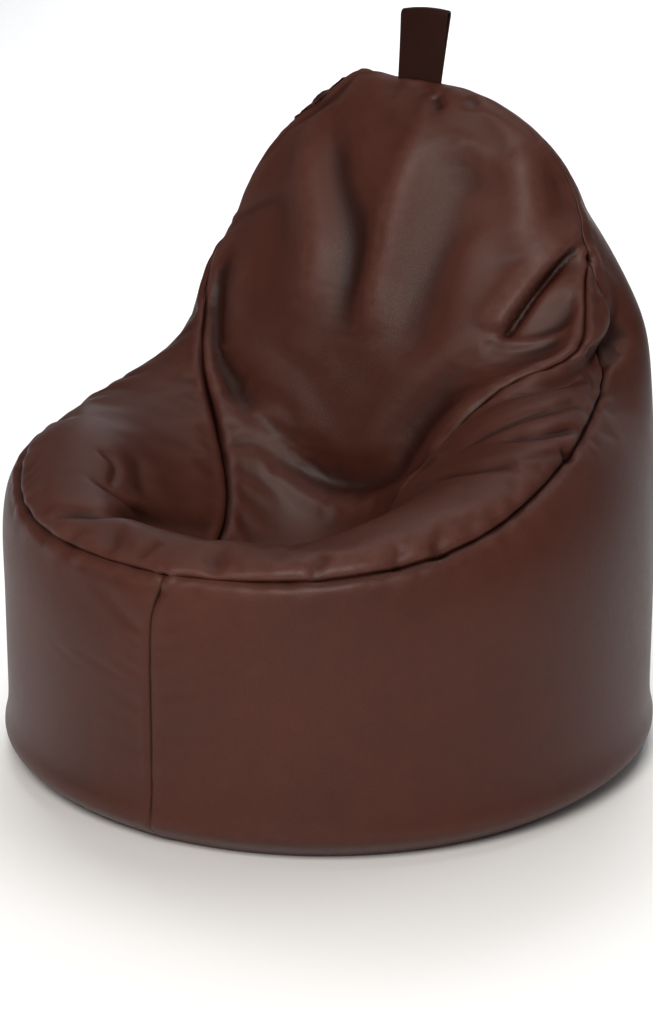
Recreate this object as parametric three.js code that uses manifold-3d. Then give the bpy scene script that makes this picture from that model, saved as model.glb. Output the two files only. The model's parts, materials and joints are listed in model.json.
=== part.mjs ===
// Bean bag chair: a round drum with a hollow seat, low arms and a tall leaf-shaped backrest with a
// carry loop on top. A sewn leatherette cover with a zip at the back holds a lighter liner bag, and
// the liner holds the bead fill.
// Millimetres, +Z up, the sitter faces -Y, the origin is on the floor under the middle of the drum.
import * as THREE from "three";
import { mergeVertices } from "three/addons/utils/BufferGeometryUtils.js";
import Module from "manifold-3d";

const wasm = await Module();
wasm.setup();

// ---- Overall sizes ----
const BODY_RADIUS = 400; // the drum at its belly
const FRONT_HEIGHT = 331; // the rim seam at the front
const SEAT_HEIGHT = 200; // the lowest point of the seat
const BACK_HEIGHT = 812; // the top of the backrest
const BACK_FULLNESS = 0.04; // how far the back corners swell past the drum, as a share of its radius

// ---- Foot ----
const FOOT_INSET = 32; // how far the base seam lies inside the belly
const FOOT_CORNER = 18; // height of the tightest part of the foot's rounding
const FOOT_HEIGHT = 60; // where the wall becomes upright

// ---- Layers, as depths below the outside of the cover ----
const COVER_THICKNESS = 2.5;
const LINER_DEPTH = 9.5;
const LINER_THICKNESS = 1;
const FILL_DEPTH = 17;
const SEAM_GAP = 0.4; // between two panels that are sewn together
const LONGEST_MITRE = 3; // where panels meet at a sharp edge, in thicknesses

// ---- Zips ----
const ZIP_BOTTOM = 75; // where the slot in the back seam starts
const ZIP_LENGTH = 400; // the slot and the chain of teeth
const SLOT_HALF_WIDTH = 7;
const SLOT_TAPER = 15; // over which the slot closes into the seam
const TAPE_OUTER = 20; // from the zip's middle to the tape's outer edge
const TAPE_THICKNESS = 0.8;
const TAPE_OVERRUN = 12; // tape past each end of the chain
const TEETH_INNER = 0.8; // the two rows of teeth leave this for the slider's post, each side
const TEETH_WIDTH = 3;
const TEETH_THICKNESS = 2.6;
const STOP_HEIGHT = 4;
const SLIDER_LENGTH = 20;
const SLIDER_HALF_WIDTH = 6;
const SLIDER_PLATE = 1.2;
const POST_HALF_WIDTH = 0.45;
const POST_LENGTH = 4;
const ZIP_CLEARANCE = 0.4; // between pieces of a zip that touch or slide
const ARCH_WIDTH = 2;
const ARCH_THICKNESS = 1;
const ARCH_ROOM = 3.2; // under the arch, along Y
const ARCH_HALF_LENGTH = 3.6; // outer, along Z
const PULLER_LENGTH = 28;
const PULLER_WIDTH = 8;
const PULLER_THICKNESS = 1.6;
const PULLER_WINDOW = 5;

// ---- Carry loop ----
const LOOP_WIDTH = 68;
const LOOP_HEIGHT = 86;
const LOOP_PLY = 2.4;
const LOOP_GAP = 13; // inside, at its widest
const LOOP_ROOT = 8; // height of the sewn root, where the two plies lie together
const LOOP_CLEARANCE = 1; // above the top seam

// ---- Colours ----
const LEATHERETTE = { color: 0x4b2d27, roughness: 0.42, metalness: 0 };
const ZIP_TAPE = { color: 0x2b1a17, roughness: 0.85, metalness: 0 };
const ZIP_COIL = { color: 0x35221d, roughness: 0.4, metalness: 0 };
const ZIP_METAL = { color: 0x8a8580, roughness: 0.3, metalness: 1 };
const LINER_CLOTH = { color: 0xe4e2dc, roughness: 0.9, metalness: 0 };
const BEADS = { color: 0xf6f6f4, roughness: 0.7, metalness: 0 };

// ---- Outlines of the right half, front to back ----
// Each point is x and y as shares of the drum's radius, and a level: -1 is the bottom of the seat,
// 0 the front rim and 1 the top of the back.
// The rim is the seam along the top of the outer wall. Its last six points run round the head.
const RIM = [
  [0, -0.98, 0], [0.41, -0.89, 0.01], [0.65, -0.72, 0.035], [0.8, -0.5, 0.075],
  [0.865, -0.26, 0.12], [0.875, 0, 0.16], [0.83, 0.18, 0.205], [0.765, 0.35, 0.245],
  [0.715, 0.46, 0.345], [0.68, 0.515, 0.465], [0.64, 0.535, 0.568],
  [0.59, 0.54, 0.7], [0.5, 0.545, 0.835], [0.35, 0.555, 0.935], [0.175, 0.575, 0.985], [0, 0.585, 1],
];
const SHOULDER = 10; // the rim point where the seat panel ends
// How the wall arrives at each rim point: the way back down it, as shares of the drum's radius.
const WALL_LEAD = [
  [0, -0.02, -0.15], [0.01, -0.02, -0.15], [0.03, -0.03, -0.14], [0.06, -0.035, -0.12],
  [0.09, -0.025, -0.09], [0.12, 0, -0.06], [0.14, 0.04, -0.02], [0.16, 0.09, 0.02],
  [0.16, 0.16, 0.02], [0.14, 0.22, 0], [0.1, 0.26, -0.02],
  [0.06, 0.25, -0.03], [0.04, 0.22, -0.04], [0.02, 0.2, -0.04], [0.01, 0.18, -0.04], [0, 0.17, -0.05],
];
// The lower edge of the backrest panel, from the front of the seat to the shoulder.
const LEAF_EDGE = [
  [0, -0.46, -0.88], [0.13, -0.455, -0.87], [0.235, -0.405, -0.8], [0.262, -0.25, -0.66],
  [0.285, -0.11, -0.38], [0.35, -0.01, 0.01], [0.435, 0.065, 0.115], [0.535, 0.145, 0.235],
  [0.61, 0.27, 0.36], [0.65, 0.405, 0.47], RIM[SHOULDER],
];
const LEAF_CORNER = 2; // the point where its bottom turns into its side
// The middle line of the backrest panel.
const LEAF_MIDDLE = [
  [0, -0.46, -0.88], [0, -0.27, -1], [0, -0.07, -0.88], [0, 0.065, -0.5], [0, 0.14, 0.02],
  [0, 0.2, 0.2], [0, 0.26, 0.385], [0, 0.325, 0.57], [0, 0.39, 0.735], [0, 0.475, 0.885],
  [0, 0.555, 0.975], [0, 0.585, 1],
];
const WALL_RISE = 0.35; // how long the upper wall stays upright, as a share of its height
const FRONT_ROLL = 0.55; // how plump the seat's rim is, as a share of the panel's width
const SIDE_ROLL = 0.22;

// ---- Grid sizes ----
const ARM_COLUMNS = 16; // along the rim, front to shoulder
const HEAD_COLUMNS = 7; // shoulder to the top
const COLUMNS = ARM_COLUMNS + HEAD_COLUMNS;
const CORNER_COLUMNS = 3; // of the backrest's top and bottom edges, each side of the middle
const SEAT_ROWS = 4;
const ZIP_ROWS = 3;
const UPPER_WALL_ROWS = 4;
const BASE_RINGS = 3;
const ZIP_FIRST_ROW = 3; // the wall's rows below the zip are the foot's
const ZIP_LAST_ROW = ZIP_FIRST_ROW + ZIP_ROWS;

const ZIP_TOP = ZIP_BOTTOM + ZIP_LENGTH;
const { lerp, smoothstep } = THREE.MathUtils;

// ---- Curves ----
function place([x, y, level]) {
  const rise = level < 0 ? FRONT_HEIGHT - SEAT_HEIGHT : BACK_HEIGHT - FRONT_HEIGHT;
  return new THREE.Vector3(x * BODY_RADIUS, y * BODY_RADIUS, FRONT_HEIGHT + level * rise);
}

const curveThrough = (points) => new THREE.CatmullRomCurve3(points);
const rimCurve = curveThrough(RIM.map(place));
const leadCurve = curveThrough(
  WALL_LEAD.map((lead) => new THREE.Vector3(...lead).multiplyScalar(BODY_RADIUS)),
);
const leafEdgeCurve = curveThrough(LEAF_EDGE.map(place));
const leafMiddleCurve = curveThrough(LEAF_MIDDLE.map(place));

// Curve parameters that cut the stretch between two of them into equal lengths.
function evenParameters(curve, from, to, count) {
  const fine = 400;
  const at = (k) => lerp(from, to, k / fine);
  const lengths = [0];
  for (let k = 1; k <= fine; k++) {
    lengths.push(lengths[k - 1] + curve.getPoint(at(k - 1)).distanceTo(curve.getPoint(at(k))));
  }
  return Array.from({ length: count + 1 }, (_, n) => {
    const target = (lengths[fine] * n) / count;
    const k = Math.max(1, lengths.findIndex((length) => length >= target - 1e-9));
    const share = (target - lengths[k - 1]) / (lengths[k] - lengths[k - 1]);
    return at(k - 1 + share);
  });
}

const shoulderAt = SHOULDER / (RIM.length - 1);
const rimParameters = [
  ...evenParameters(rimCurve, 0, shoulderAt, ARM_COLUMNS),
  ...evenParameters(rimCurve, shoulderAt, 1, HEAD_COLUMNS).slice(1),
];
const rim = rimParameters.map((t) => rimCurve.getPoint(t));
const lead = rimParameters.map((t) => leadCurve.getPoint(t));
const cornerAt = LEAF_CORNER / (LEAF_EDGE.length - 1);
const leafParameters = [
  ...evenParameters(leafEdgeCurve, 0, cornerAt, CORNER_COLUMNS),
  ...evenParameters(leafEdgeCurve, cornerAt, 1, ARM_COLUMNS - CORNER_COLUMNS).slice(1),
];
const leafEdge = leafParameters.map((t) => leafEdgeCurve.getPoint(t));
const leafOutline = [...leafEdge.slice(0, ARM_COLUMNS), ...rim.slice(ARM_COLUMNS)];

const mirrored = (point) => new THREE.Vector3(-point.x, point.y, point.z);
const onSide = (points, n) => (n < 0 ? mirrored(points[-n]) : points[n].clone());

// ---- Outer wall ----
// The angle round the drum of each column's foot: below its rim point on the arms, and spread
// evenly behind the head.
function footAngle(column) {
  const angleOf = (point) => Math.atan2(point.x, -point.y);
  if (column <= ARM_COLUMNS) return angleOf(rim[column]);
  return lerp(angleOf(rim[ARM_COLUMNS]), Math.PI, (column - ARM_COLUMNS) / HEAD_COLUMNS);
}

function bellyRadius(angle) {
  const corner = smoothstep(angle, Math.PI * 0.42, Math.PI * 0.75);
  const middle = smoothstep(angle, Math.PI * 0.75, Math.PI);
  return BODY_RADIUS * (1 + BACK_FULLNESS * corner * (1 - 0.7 * middle));
}

function wallColumn(column) {
  const angle = footAngle(column);
  const belly = bellyRadius(angle);
  const at = (radius, z) => new THREE.Vector3(radius * Math.sin(angle), -radius * Math.cos(angle), z);
  const top = rim[column];
  const points = [
    at(belly - FOOT_INSET, 0),
    at(belly - FOOT_INSET * 0.35, FOOT_CORNER),
    at(belly, FOOT_HEIGHT),
  ];
  const zipTop = (ZIP_TOP * top.z) / BACK_HEIGHT;
  for (let k = 0; k <= ZIP_ROWS; k++) points.push(at(belly, lerp(ZIP_BOTTOM, zipTop, k / ZIP_ROWS)));
  const start = at(belly, zipTop + SLOT_TAPER);
  points.push(start);
  const upper = new THREE.CubicBezierCurve3(
    start,
    start.clone().setZ(lerp(start.z, top.z, WALL_RISE)),
    top.clone().add(lead[column]),
    top,
  );
  for (let k = 1; k <= UPPER_WALL_ROWS; k++) points.push(upper.getPoint(k / UPPER_WALL_ROWS));
  return points;
}

// The back column of one side steps aside for the zip, along the flat facet beside it.
function openSlot(columns) {
  const last = columns[COLUMNS];
  const beside = columns[COLUMNS - 1];
  for (let row = ZIP_FIRST_ROW; row <= ZIP_LAST_ROW; row++) {
    last[row].lerp(beside[row].clone().setZ(last[row].z), SLOT_HALF_WIDTH / beside[row].x);
  }
}

function wallGrid(side, slotted) {
  const columns = rim.map((_, column) => wallColumn(column));
  if (slotted) openSlot(columns);
  return side < 0 ? columns.map((column) => column.map(mirrored)) : columns;
}

// ---- Seat, backrest and base ----
function seatGrid() {
  const rows = [];
  for (let n = -ARM_COLUMNS; n <= ARM_COLUMNS; n++) {
    const outer = onSide(rim, n);
    const inner = onSide(leafOutline, n);
    const across = inner.clone().sub(outer);
    const width = across.length();
    const up = new THREE.Vector3(0, 0, 1).projectOnPlane(across.clone().normalize()).normalize();
    const roll = lerp(SIDE_ROLL, FRONT_ROLL, smoothstep(-outer.y, 0.1 * BODY_RADIUS, 0.8 * BODY_RADIUS));
    const section = new THREE.CubicBezierCurve3(
      outer,
      outer.clone().addScaledVector(across, 0.15).addScaledVector(up, roll * width),
      outer.clone().addScaledVector(across, 0.72).addScaledVector(up, 0.1 * width),
      inner,
    );
    rows.push(Array.from({ length: SEAT_ROWS + 1 }, (_, k) => section.getPoint(k / SEAT_ROWS)));
  }
  return rows;
}

// A patch between the leaf's four sides, pushed out or in so that its middle follows the middle line.
function backrestGrid() {
  const across = 2 * CORNER_COLUMNS;
  const along = COLUMNS - across;
  const bottom = (a) => onSide(leafOutline, a - CORNER_COLUMNS);
  const top = (a) => {
    const fromMiddle = a - CORNER_COLUMNS;
    return onSide(leafOutline, (fromMiddle < 0 ? -1 : 1) * (COLUMNS - Math.abs(fromMiddle)));
  };
  const right = (b) => leafOutline[CORNER_COLUMNS + b];
  const left = (b) => mirrored(right(b));
  const patch = (a, b) => {
    const u = a / across;
    const v = b / along;
    const point = new THREE.Vector3();
    point.addScaledVector(bottom(a), 1 - v).addScaledVector(top(a), v);
    point.addScaledVector(left(b), 1 - u).addScaledVector(right(b), u);
    point.addScaledVector(left(0), -(1 - u) * (1 - v)).addScaledVector(right(0), -u * (1 - v));
    return point.addScaledVector(left(along), -(1 - u) * v).addScaledVector(right(along), -u * v);
  };
  const rows = [];
  for (let b = 0; b <= along; b++) {
    const push = leafMiddleCurve.getPointAt(b / along).sub(patch(CORNER_COLUMNS, b));
    if (b === 0 || b === along) push.set(0, 0, 0);
    rows.push(
      Array.from({ length: across + 1 }, (_, a) =>
        patch(a, b).addScaledVector(push, 1 - ((2 * a) / across - 1) ** 2),
      ),
    );
  }
  return rows;
}

function baseGrid() {
  const rows = [];
  for (let n = -COLUMNS; n <= COLUMNS; n++) {
    const edge = onSide(feet, n);
    rows.push(
      Array.from({ length: BASE_RINGS + 1 }, (_, k) => edge.clone().multiplyScalar(1 - k / BASE_RINGS)),
    );
  }
  return rows;
}

const feet = rim.map((_, column) => wallColumn(column)[0]);

// ---- Skin: grids of points that share their seams, and the layers made by going inwards from it ----
const keyOf = (point) => [point.x, point.y, point.z].map((c) => Math.round(c * 100) + 0).join();

function gridFaces(rows, turned) {
  const faces = [];
  const add = (a, b, c) => {
    const keys = new Set([a, b, c].map(keyOf));
    if (keys.size === 3) faces.push(turned ? [a, c, b] : [a, b, c]);
  };
  for (let r = 1; r < rows.length; r++) {
    for (let k = 1; k < rows[r].length; k++) {
      const [p, q, s, t] = [rows[r - 1][k - 1], rows[r][k - 1], rows[r][k], rows[r - 1][k]];
      add(p, q, s);
      add(p, s, t);
    }
  }
  return faces;
}

// Each point of one panel with its normal there, weighted by area.
function panelNormals(faces) {
  const sums = new Map();
  for (const face of faces) {
    const [a, b, c] = face;
    const area = b.clone().sub(a).cross(c.clone().sub(a));
    for (const point of face) {
      const key = keyOf(point);
      if (!sums.has(key)) sums.set(key, [point, new THREE.Vector3()]);
      sums.get(key)[1].add(area);
    }
  }
  return [...sums.values()].map(([point, sum]) => [point, sum.normalize()]);
}

// The shortest vector that reaches one unit along every one of the directions, kept within a limit.
function reaching(directions) {
  const vector = new THREE.Vector3();
  for (let turn = 0; turn < 60; turn++) {
    for (const direction of directions) vector.addScaledVector(direction, 1 - vector.dot(direction));
  }
  return vector.clampLength(0, LONGEST_MITRE);
}

// Collects vectors by the point they belong to.
function gather(map, point, vector) {
  const key = keyOf(point);
  if (!map.has(key)) map.set(key, []);
  map.get(key).push(vector);
}

// For each point, the step that goes one millimetre below every panel that meets there.
function inwardSteps(panels) {
  const downwards = new Map();
  for (const faces of Object.values(panels)) {
    for (const [point, normal] of panelNormals(faces)) gather(downwards, point, normal.negate());
  }
  return new Map([...downwards].map(([key, directions]) => [key, reaching(directions)]));
}

function geometryOf(triangles) {
  const positions = triangles.flat().flatMap((point) => point.toArray());
  return new THREE.BufferGeometry().setAttribute(
    "position",
    new THREE.Float32BufferAttribute(positions, 3),
  );
}

// Directed edges that no neighbour runs the other way: the panel's border.
function borderEdges(faces) {
  const edges = new Map();
  for (const face of faces) {
    face.forEach((point, n) => {
      const next = face[(n + 1) % 3];
      edges.set(keyOf(point) + ">" + keyOf(next), [point, next]);
    });
  }
  return [...edges.values()].filter(([a, b]) => !edges.has(keyOf(b) + ">" + keyOf(a)));
}

// One sewn panel between two depths, drawn back by half the seam gap from the planes in which it
// meets its neighbours.
function panelGeometry(faces, steps, outerDepth, innerDepth) {
  const border = borderEdges(faces);
  const awayFromSeams = new Map();
  for (const [a, b] of border) {
    const middleStep = steps.get(keyOf(a)).clone().add(steps.get(keyOf(b)));
    const away = b.clone().sub(a).cross(middleStep).normalize();
    gather(awayFromSeams, a, away);
    gather(awayFromSeams, b, away);
  }
  const pull = new Map();
  for (const [key, directions] of awayFromSeams) {
    pull.set(key, reaching(directions).multiplyScalar(SEAM_GAP / 2));
  }
  const at = (point, depth) => {
    const key = keyOf(point);
    const moved = point.clone().addScaledVector(steps.get(key), depth);
    return pull.has(key) ? moved.add(pull.get(key)) : moved;
  };
  const outside = (point) => at(point, outerDepth);
  const inside = (point) => at(point, innerDepth);
  const triangles = faces.map((face) => face.map(outside));
  for (const [a, b, c] of faces) triangles.push([inside(a), inside(c), inside(b)]);
  for (const [a, b] of border) {
    const [outA, outB, inA, inB] = [outside(a), outside(b), inside(a), inside(b)];
    // Both panels of a seam cut this strip along the same diagonal.
    if (keyOf(a) < keyOf(b)) triangles.push([outB, outA, inB], [outA, inA, inB]);
    else triangles.push([outB, outA, inA], [outB, inA, inB]);
  }
  return geometryOf(triangles);
}

// The solid inside all the panels, from a depth inwards.
function closedGeometry(panels, steps, depth) {
  const lowered = (point) => point.clone().addScaledVector(steps.get(keyOf(point)), depth);
  return geometryOf(Object.values(panels).flatMap((faces) => faces.map((face) => face.map(lowered))));
}

function skinPanels(slotted) {
  return {
    base: gridFaces(baseGrid(), true),
    wall_left: gridFaces(wallGrid(-1, slotted), true),
    wall_right: gridFaces(wallGrid(1, slotted), false),
    seat: gridFaces(seatGrid(), false),
    backrest: gridFaces(backrestGrid(), true),
  };
}

// ---- Small solids ----
function block([x0, x1], [y0, y1], [z0, z1]) {
  const box = new THREE.BoxGeometry(x1 - x0, y1 - y0, z1 - z0);
  return box.translate((x0 + x1) / 2, (y0 + y1) / 2, (z0 + z1) / 2);
}

function solidOf(geometry) {
  const bare = new THREE.BufferGeometry();
  bare.setAttribute("position", geometry.toNonIndexed().getAttribute("position"));
  const merged = mergeVertices(bare, 1e-4);
  return new wasm.Manifold(
    new wasm.Mesh({
      numProp: 3,
      vertProperties: merged.attributes.position.array,
      triVerts: new Uint32Array(merged.index.array),
    }),
  );
}

function geometryFromSolid(solid) {
  const mesh = solid.getMesh();
  const geometry = new THREE.BufferGeometry();
  geometry.setAttribute("position", new THREE.BufferAttribute(mesh.vertProperties, 3));
  return geometry.setIndex(new THREE.BufferAttribute(mesh.triVerts, 1));
}

const joined = (geometries) =>
  geometryFromSolid(geometries.map(solidOf).reduce((whole, solid) => whole.add(solid)));

// A path's points, without the near repeats where a line meets an arc.
function outlineOf(path) {
  const points = path.getPoints(8);
  return points.filter((point, n) => point.distanceTo(points[(n + 1) % points.length]) > 1e-3);
}

// ---- Assembly ----
const chair = new THREE.Group();

function addMesh(name, geometry, finish, group = chair) {
  const mesh = new THREE.Mesh(geometry, new THREE.MeshStandardMaterial(finish));
  mesh.name = name;
  group.add(mesh);
  return mesh;
}

const openPanels = skinPanels(true);
const openSteps = inwardSteps(openPanels);
const closedPanels = skinPanels(false);
const closedSteps = inwardSteps(closedPanels);

function addLayer(suffix, prefix, depth, thickness, finish) {
  for (const [name, faces] of Object.entries(openPanels)) {
    const named = prefix + name + suffix;
    addMesh(named, panelGeometry(faces, openSteps, depth, depth + thickness), finish);
  }
}

addLayer("_panel", "", 0, COVER_THICKNESS, LEATHERETTE);
addLayer("", "liner_", LINER_DEPTH, LINER_THICKNESS, LINER_CLOTH);
addMesh("bead_fill", closedGeometry(closedPanels, closedSteps, FILL_DEPTH), BEADS);

// ---- Zips ----
// Y is worked out from the facet of the wall beside the slot; a zip's pieces stand in their own group
// whose origin is on the outside of the layer that the zip closes.
const backColumn = wallColumn(COLUMNS);
const besideColumn = wallColumn(COLUMNS - 1);
const backY = backColumn[ZIP_FIRST_ROW].y;
const facetSlope = (backY - besideColumn[ZIP_FIRST_ROW].y) / besideColumn[ZIP_FIRST_ROW].x;

function tapeGeometry(side, front) {
  const inner = TEETH_INNER + TEETH_WIDTH + ZIP_CLEARANCE;
  const outline = [
    [inner, front - facetSlope * inner],
    [TAPE_OUTER, front - facetSlope * TAPE_OUTER],
    [TAPE_OUTER, front - facetSlope * TAPE_OUTER - TAPE_THICKNESS],
    [inner, front - facetSlope * inner - TAPE_THICKNESS],
  ];
  const shape = new THREE.Shape(outline.map(([x, y]) => new THREE.Vector2(side * x, y)));
  const depth = ZIP_LENGTH + 2 * TAPE_OVERRUN;
  return new THREE.ExtrudeGeometry(shape, { depth, bevelEnabled: false }).translate(0, 0, -TAPE_OVERRUN);
}

// The slider: two plates round the chain, joined by a post between the rows of teeth.
function sliderGeometry(teethFront, withArch) {
  const front = teethFront + ZIP_CLEARANCE;
  const back = teethFront - TEETH_THICKNESS - ZIP_CLEARANCE;
  const across = [-SLIDER_HALF_WIDTH, SLIDER_HALF_WIDTH];
  const pieces = [
    block(across, [front, front + SLIDER_PLATE], [-SLIDER_LENGTH, 0]),
    block(across, [back - SLIDER_PLATE, back], [-SLIDER_LENGTH, 0]),
    block([-POST_HALF_WIDTH, POST_HALF_WIDTH], [back - 0.2, front + 0.2], [-POST_LENGTH, 0]),
  ];
  if (withArch) {
    const foot = front + SLIDER_PLATE - 0.2;
    const roof = front + SLIDER_PLATE + ARCH_ROOM;
    const middle = -SLIDER_LENGTH / 2;
    const width = [-ARCH_WIDTH / 2, ARCH_WIDTH / 2];
    const ends = [middle - ARCH_HALF_LENGTH, middle + ARCH_HALF_LENGTH];
    pieces.push(
      block(width, [roof, roof + ARCH_THICKNESS], ends),
      block(width, [foot, roof + 0.2], [ends[0], ends[0] + ARCH_THICKNESS]),
      block(width, [foot, roof + 0.2], [ends[1] - ARCH_THICKNESS, ends[1]]),
    );
  }
  return joined(pieces);
}

// The puller hangs from a bar that passes under the slider's arch: a plate with a window at its top.
function pullerGeometry() {
  const bar = PULLER_THICKNESS;
  const half = PULLER_WIDTH / 2;
  const corner = 3;
  const outline = new THREE.Path();
  outline.moveTo(-half, bar / 2);
  outline.lineTo(-half, corner - PULLER_LENGTH);
  outline.absarc(corner - half, corner - PULLER_LENGTH, corner, Math.PI, 1.5 * Math.PI, false);
  outline.absarc(half - corner, corner - PULLER_LENGTH, corner, 1.5 * Math.PI, 2 * Math.PI, false);
  outline.lineTo(half, bar / 2);
  const shape = new THREE.Shape(outlineOf(outline));
  const window = new THREE.Path();
  const side = half - bar;
  window.moveTo(-side, -bar / 2);
  window.lineTo(side, -bar / 2);
  window.lineTo(side, -bar / 2 - PULLER_WINDOW);
  window.lineTo(-side, -bar / 2 - PULLER_WINDOW);
  window.closePath();
  shape.holes.push(window);
  const plate = new THREE.ExtrudeGeometry(shape, { depth: PULLER_THICKNESS, bevelEnabled: false });
  return plate.translate(0, 0, -PULLER_THICKNESS / 2).rotateX(Math.PI / 2);
}

function addZip(prefix, depth, thickness, withPuller) {
  const zip = new THREE.Group();
  zip.position.set(0, backY - depth, ZIP_BOTTOM);
  chair.add(zip);
  const tapeFront = -thickness - ZIP_CLEARANCE;
  const teethFront = tapeFront - TAPE_THICKNESS / 2 + TEETH_THICKNESS / 2;
  const teethBack = teethFront - TEETH_THICKNESS;
  const teethX = [TEETH_INNER, TEETH_INNER + TEETH_WIDTH];
  const sideX = (side) => (side < 0 ? [-teethX[1], -teethX[0]] : teethX);
  for (const [name, side] of [["left", -1], ["right", 1]]) {
    const teethEnds = [STOP_HEIGHT + ZIP_CLEARANCE, ZIP_LENGTH - STOP_HEIGHT - ZIP_CLEARANCE];
    const stopEnds = [ZIP_LENGTH - STOP_HEIGHT, ZIP_LENGTH];
    const teeth = block(sideX(side), [teethBack, teethFront], teethEnds);
    const stop = block(sideX(side), [teethBack, teethFront], stopEnds);
    addMesh(prefix + "tape_" + name, tapeGeometry(side, tapeFront), ZIP_TAPE, zip);
    addMesh(prefix + "teeth_" + name, teeth, ZIP_COIL, zip);
    addMesh(prefix + "top_stop_" + name, stop, ZIP_METAL, zip);
  }
  const bottom = block([-teethX[1], teethX[1]], [teethBack, teethFront], [0, STOP_HEIGHT]);
  addMesh(prefix + "bottom_stop", bottom, ZIP_METAL, zip);
  const sliderTop = ZIP_LENGTH - STOP_HEIGHT - ZIP_CLEARANCE;
  const slider = addMesh(prefix + "slider", sliderGeometry(teethFront, withPuller), ZIP_METAL, zip);
  slider.position.z = sliderTop;
  if (!withPuller) return;
  const puller = addMesh(prefix + "puller", pullerGeometry(), ZIP_METAL, zip);
  const pullerY = teethFront + ZIP_CLEARANCE + SLIDER_PLATE + ARCH_ROOM / 2;
  puller.position.set(0, pullerY, sliderTop - SLIDER_LENGTH / 2);
}

addZip("zip_", 0, COVER_THICKNESS, true);
addZip("liner_zip_", LINER_DEPTH, LINER_THICKNESS, false);

// ---- Carry loop ----
// A strip folded into a flattened teardrop, its two ends sewn together at the root.
function loopGeometry() {
  const half = LOOP_GAP / 2;
  const bend = half + LOOP_PLY;
  const teardrop = (width, foot, radius) => {
    const centre = LOOP_HEIGHT - bend;
    const path = new THREE.Path();
    path.moveTo(width, foot);
    path.bezierCurveTo(width, lerp(foot, centre, 0.35), radius, lerp(foot, centre, 0.5), radius, centre);
    path.absarc(0, centre, radius, 0, Math.PI, false);
    path.bezierCurveTo(-radius, lerp(foot, centre, 0.5), -width, lerp(foot, centre, 0.35), -width, foot);
    return outlineOf(path);
  };
  const shape = new THREE.Shape(teardrop(LOOP_PLY, 0, bend));
  shape.holes.push(new THREE.Path(teardrop(0.15, LOOP_ROOT, half)));
  const strip = new THREE.ExtrudeGeometry(shape, { depth: LOOP_WIDTH, bevelEnabled: false });
  return strip.translate(0, 0, -LOOP_WIDTH / 2).rotateX(Math.PI / 2).rotateZ(Math.PI / 2);
}

const loop = addMesh("handle_loop", loopGeometry(), LEATHERETTE);
loop.position.copy(rim[COLUMNS]).add(new THREE.Vector3(0, 0, LOOP_CLEARANCE));

export default chair;
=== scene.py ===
# %% [markdown]
# # A leatherette bean bag chair
#
# The chair is a sewn cover, a liner bag inside it and a fill of loose beads. Five panels of
# leatherette make the cover: a round base, two halves of the outer wall, a horseshoe-shaped seat
# panel and a leaf-shaped backrest. A zip closes the back seam and a carry loop stands in the top seam.
# The frame gives every piece its place, so the looks are built around the frame's own panels.

# %% Load the frame
import json
import math
from dataclasses import dataclass
import bmesh
import bpy
import numpy as np
from mathutils import Matrix, Vector, noise
from mathutils.bvhtree import BVHTree
from mathutils.kdtree import KDTree

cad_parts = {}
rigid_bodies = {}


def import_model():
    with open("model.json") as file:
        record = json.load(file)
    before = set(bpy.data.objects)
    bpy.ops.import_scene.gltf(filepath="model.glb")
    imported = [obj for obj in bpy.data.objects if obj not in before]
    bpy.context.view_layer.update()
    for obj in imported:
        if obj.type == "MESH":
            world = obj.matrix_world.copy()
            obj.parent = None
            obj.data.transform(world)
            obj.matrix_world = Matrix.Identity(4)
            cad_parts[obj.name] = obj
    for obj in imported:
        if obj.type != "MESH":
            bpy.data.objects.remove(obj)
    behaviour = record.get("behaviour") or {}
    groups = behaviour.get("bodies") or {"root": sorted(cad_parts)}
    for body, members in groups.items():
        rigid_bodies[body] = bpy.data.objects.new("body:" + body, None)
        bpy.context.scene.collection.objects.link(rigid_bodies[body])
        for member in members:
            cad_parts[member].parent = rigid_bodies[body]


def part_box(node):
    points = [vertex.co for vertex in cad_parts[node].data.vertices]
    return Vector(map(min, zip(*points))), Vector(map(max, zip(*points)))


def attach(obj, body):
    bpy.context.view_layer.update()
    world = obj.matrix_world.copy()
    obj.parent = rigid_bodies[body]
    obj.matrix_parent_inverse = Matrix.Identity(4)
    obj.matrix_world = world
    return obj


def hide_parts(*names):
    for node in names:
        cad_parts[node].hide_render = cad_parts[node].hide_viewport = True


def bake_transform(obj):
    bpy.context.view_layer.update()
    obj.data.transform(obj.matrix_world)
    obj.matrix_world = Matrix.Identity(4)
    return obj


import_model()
for name in ("Cube", "Camera", "Light"):
    if name in bpy.data.objects:
        bpy.data.objects.remove(bpy.data.objects[name])
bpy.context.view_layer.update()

# %% [markdown]
# ## The studio
#
# A chair this dark shows its shape only through soft reflections, so the lights are wide panels: a warm
# key above the camera, a faint fill from the right and a panel high above the head. The floor is a plain
# pale sweep that curves up into a wall, which leaves no horizon line. A fourth panel makes the wall white,
# and it is linked to the sweep alone, because its reflection would turn the chair's edges grey. The
# Standard view transform keeps that white pure, and it keeps the browns as deep as they are mixed.

# %% A camera that looks at the chair from the front right
CAMERA_DISTANCE = 3.0
CAMERA_AZIMUTH = math.radians(29.47)
CAMERA_ELEVATION = math.radians(15.41)
CAMERA_TARGET = Vector((0, 0, 0.4))
SENSOR = 36.0
LENS = 85.35
SHIFT = (0.0019, -0.0804)

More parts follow.
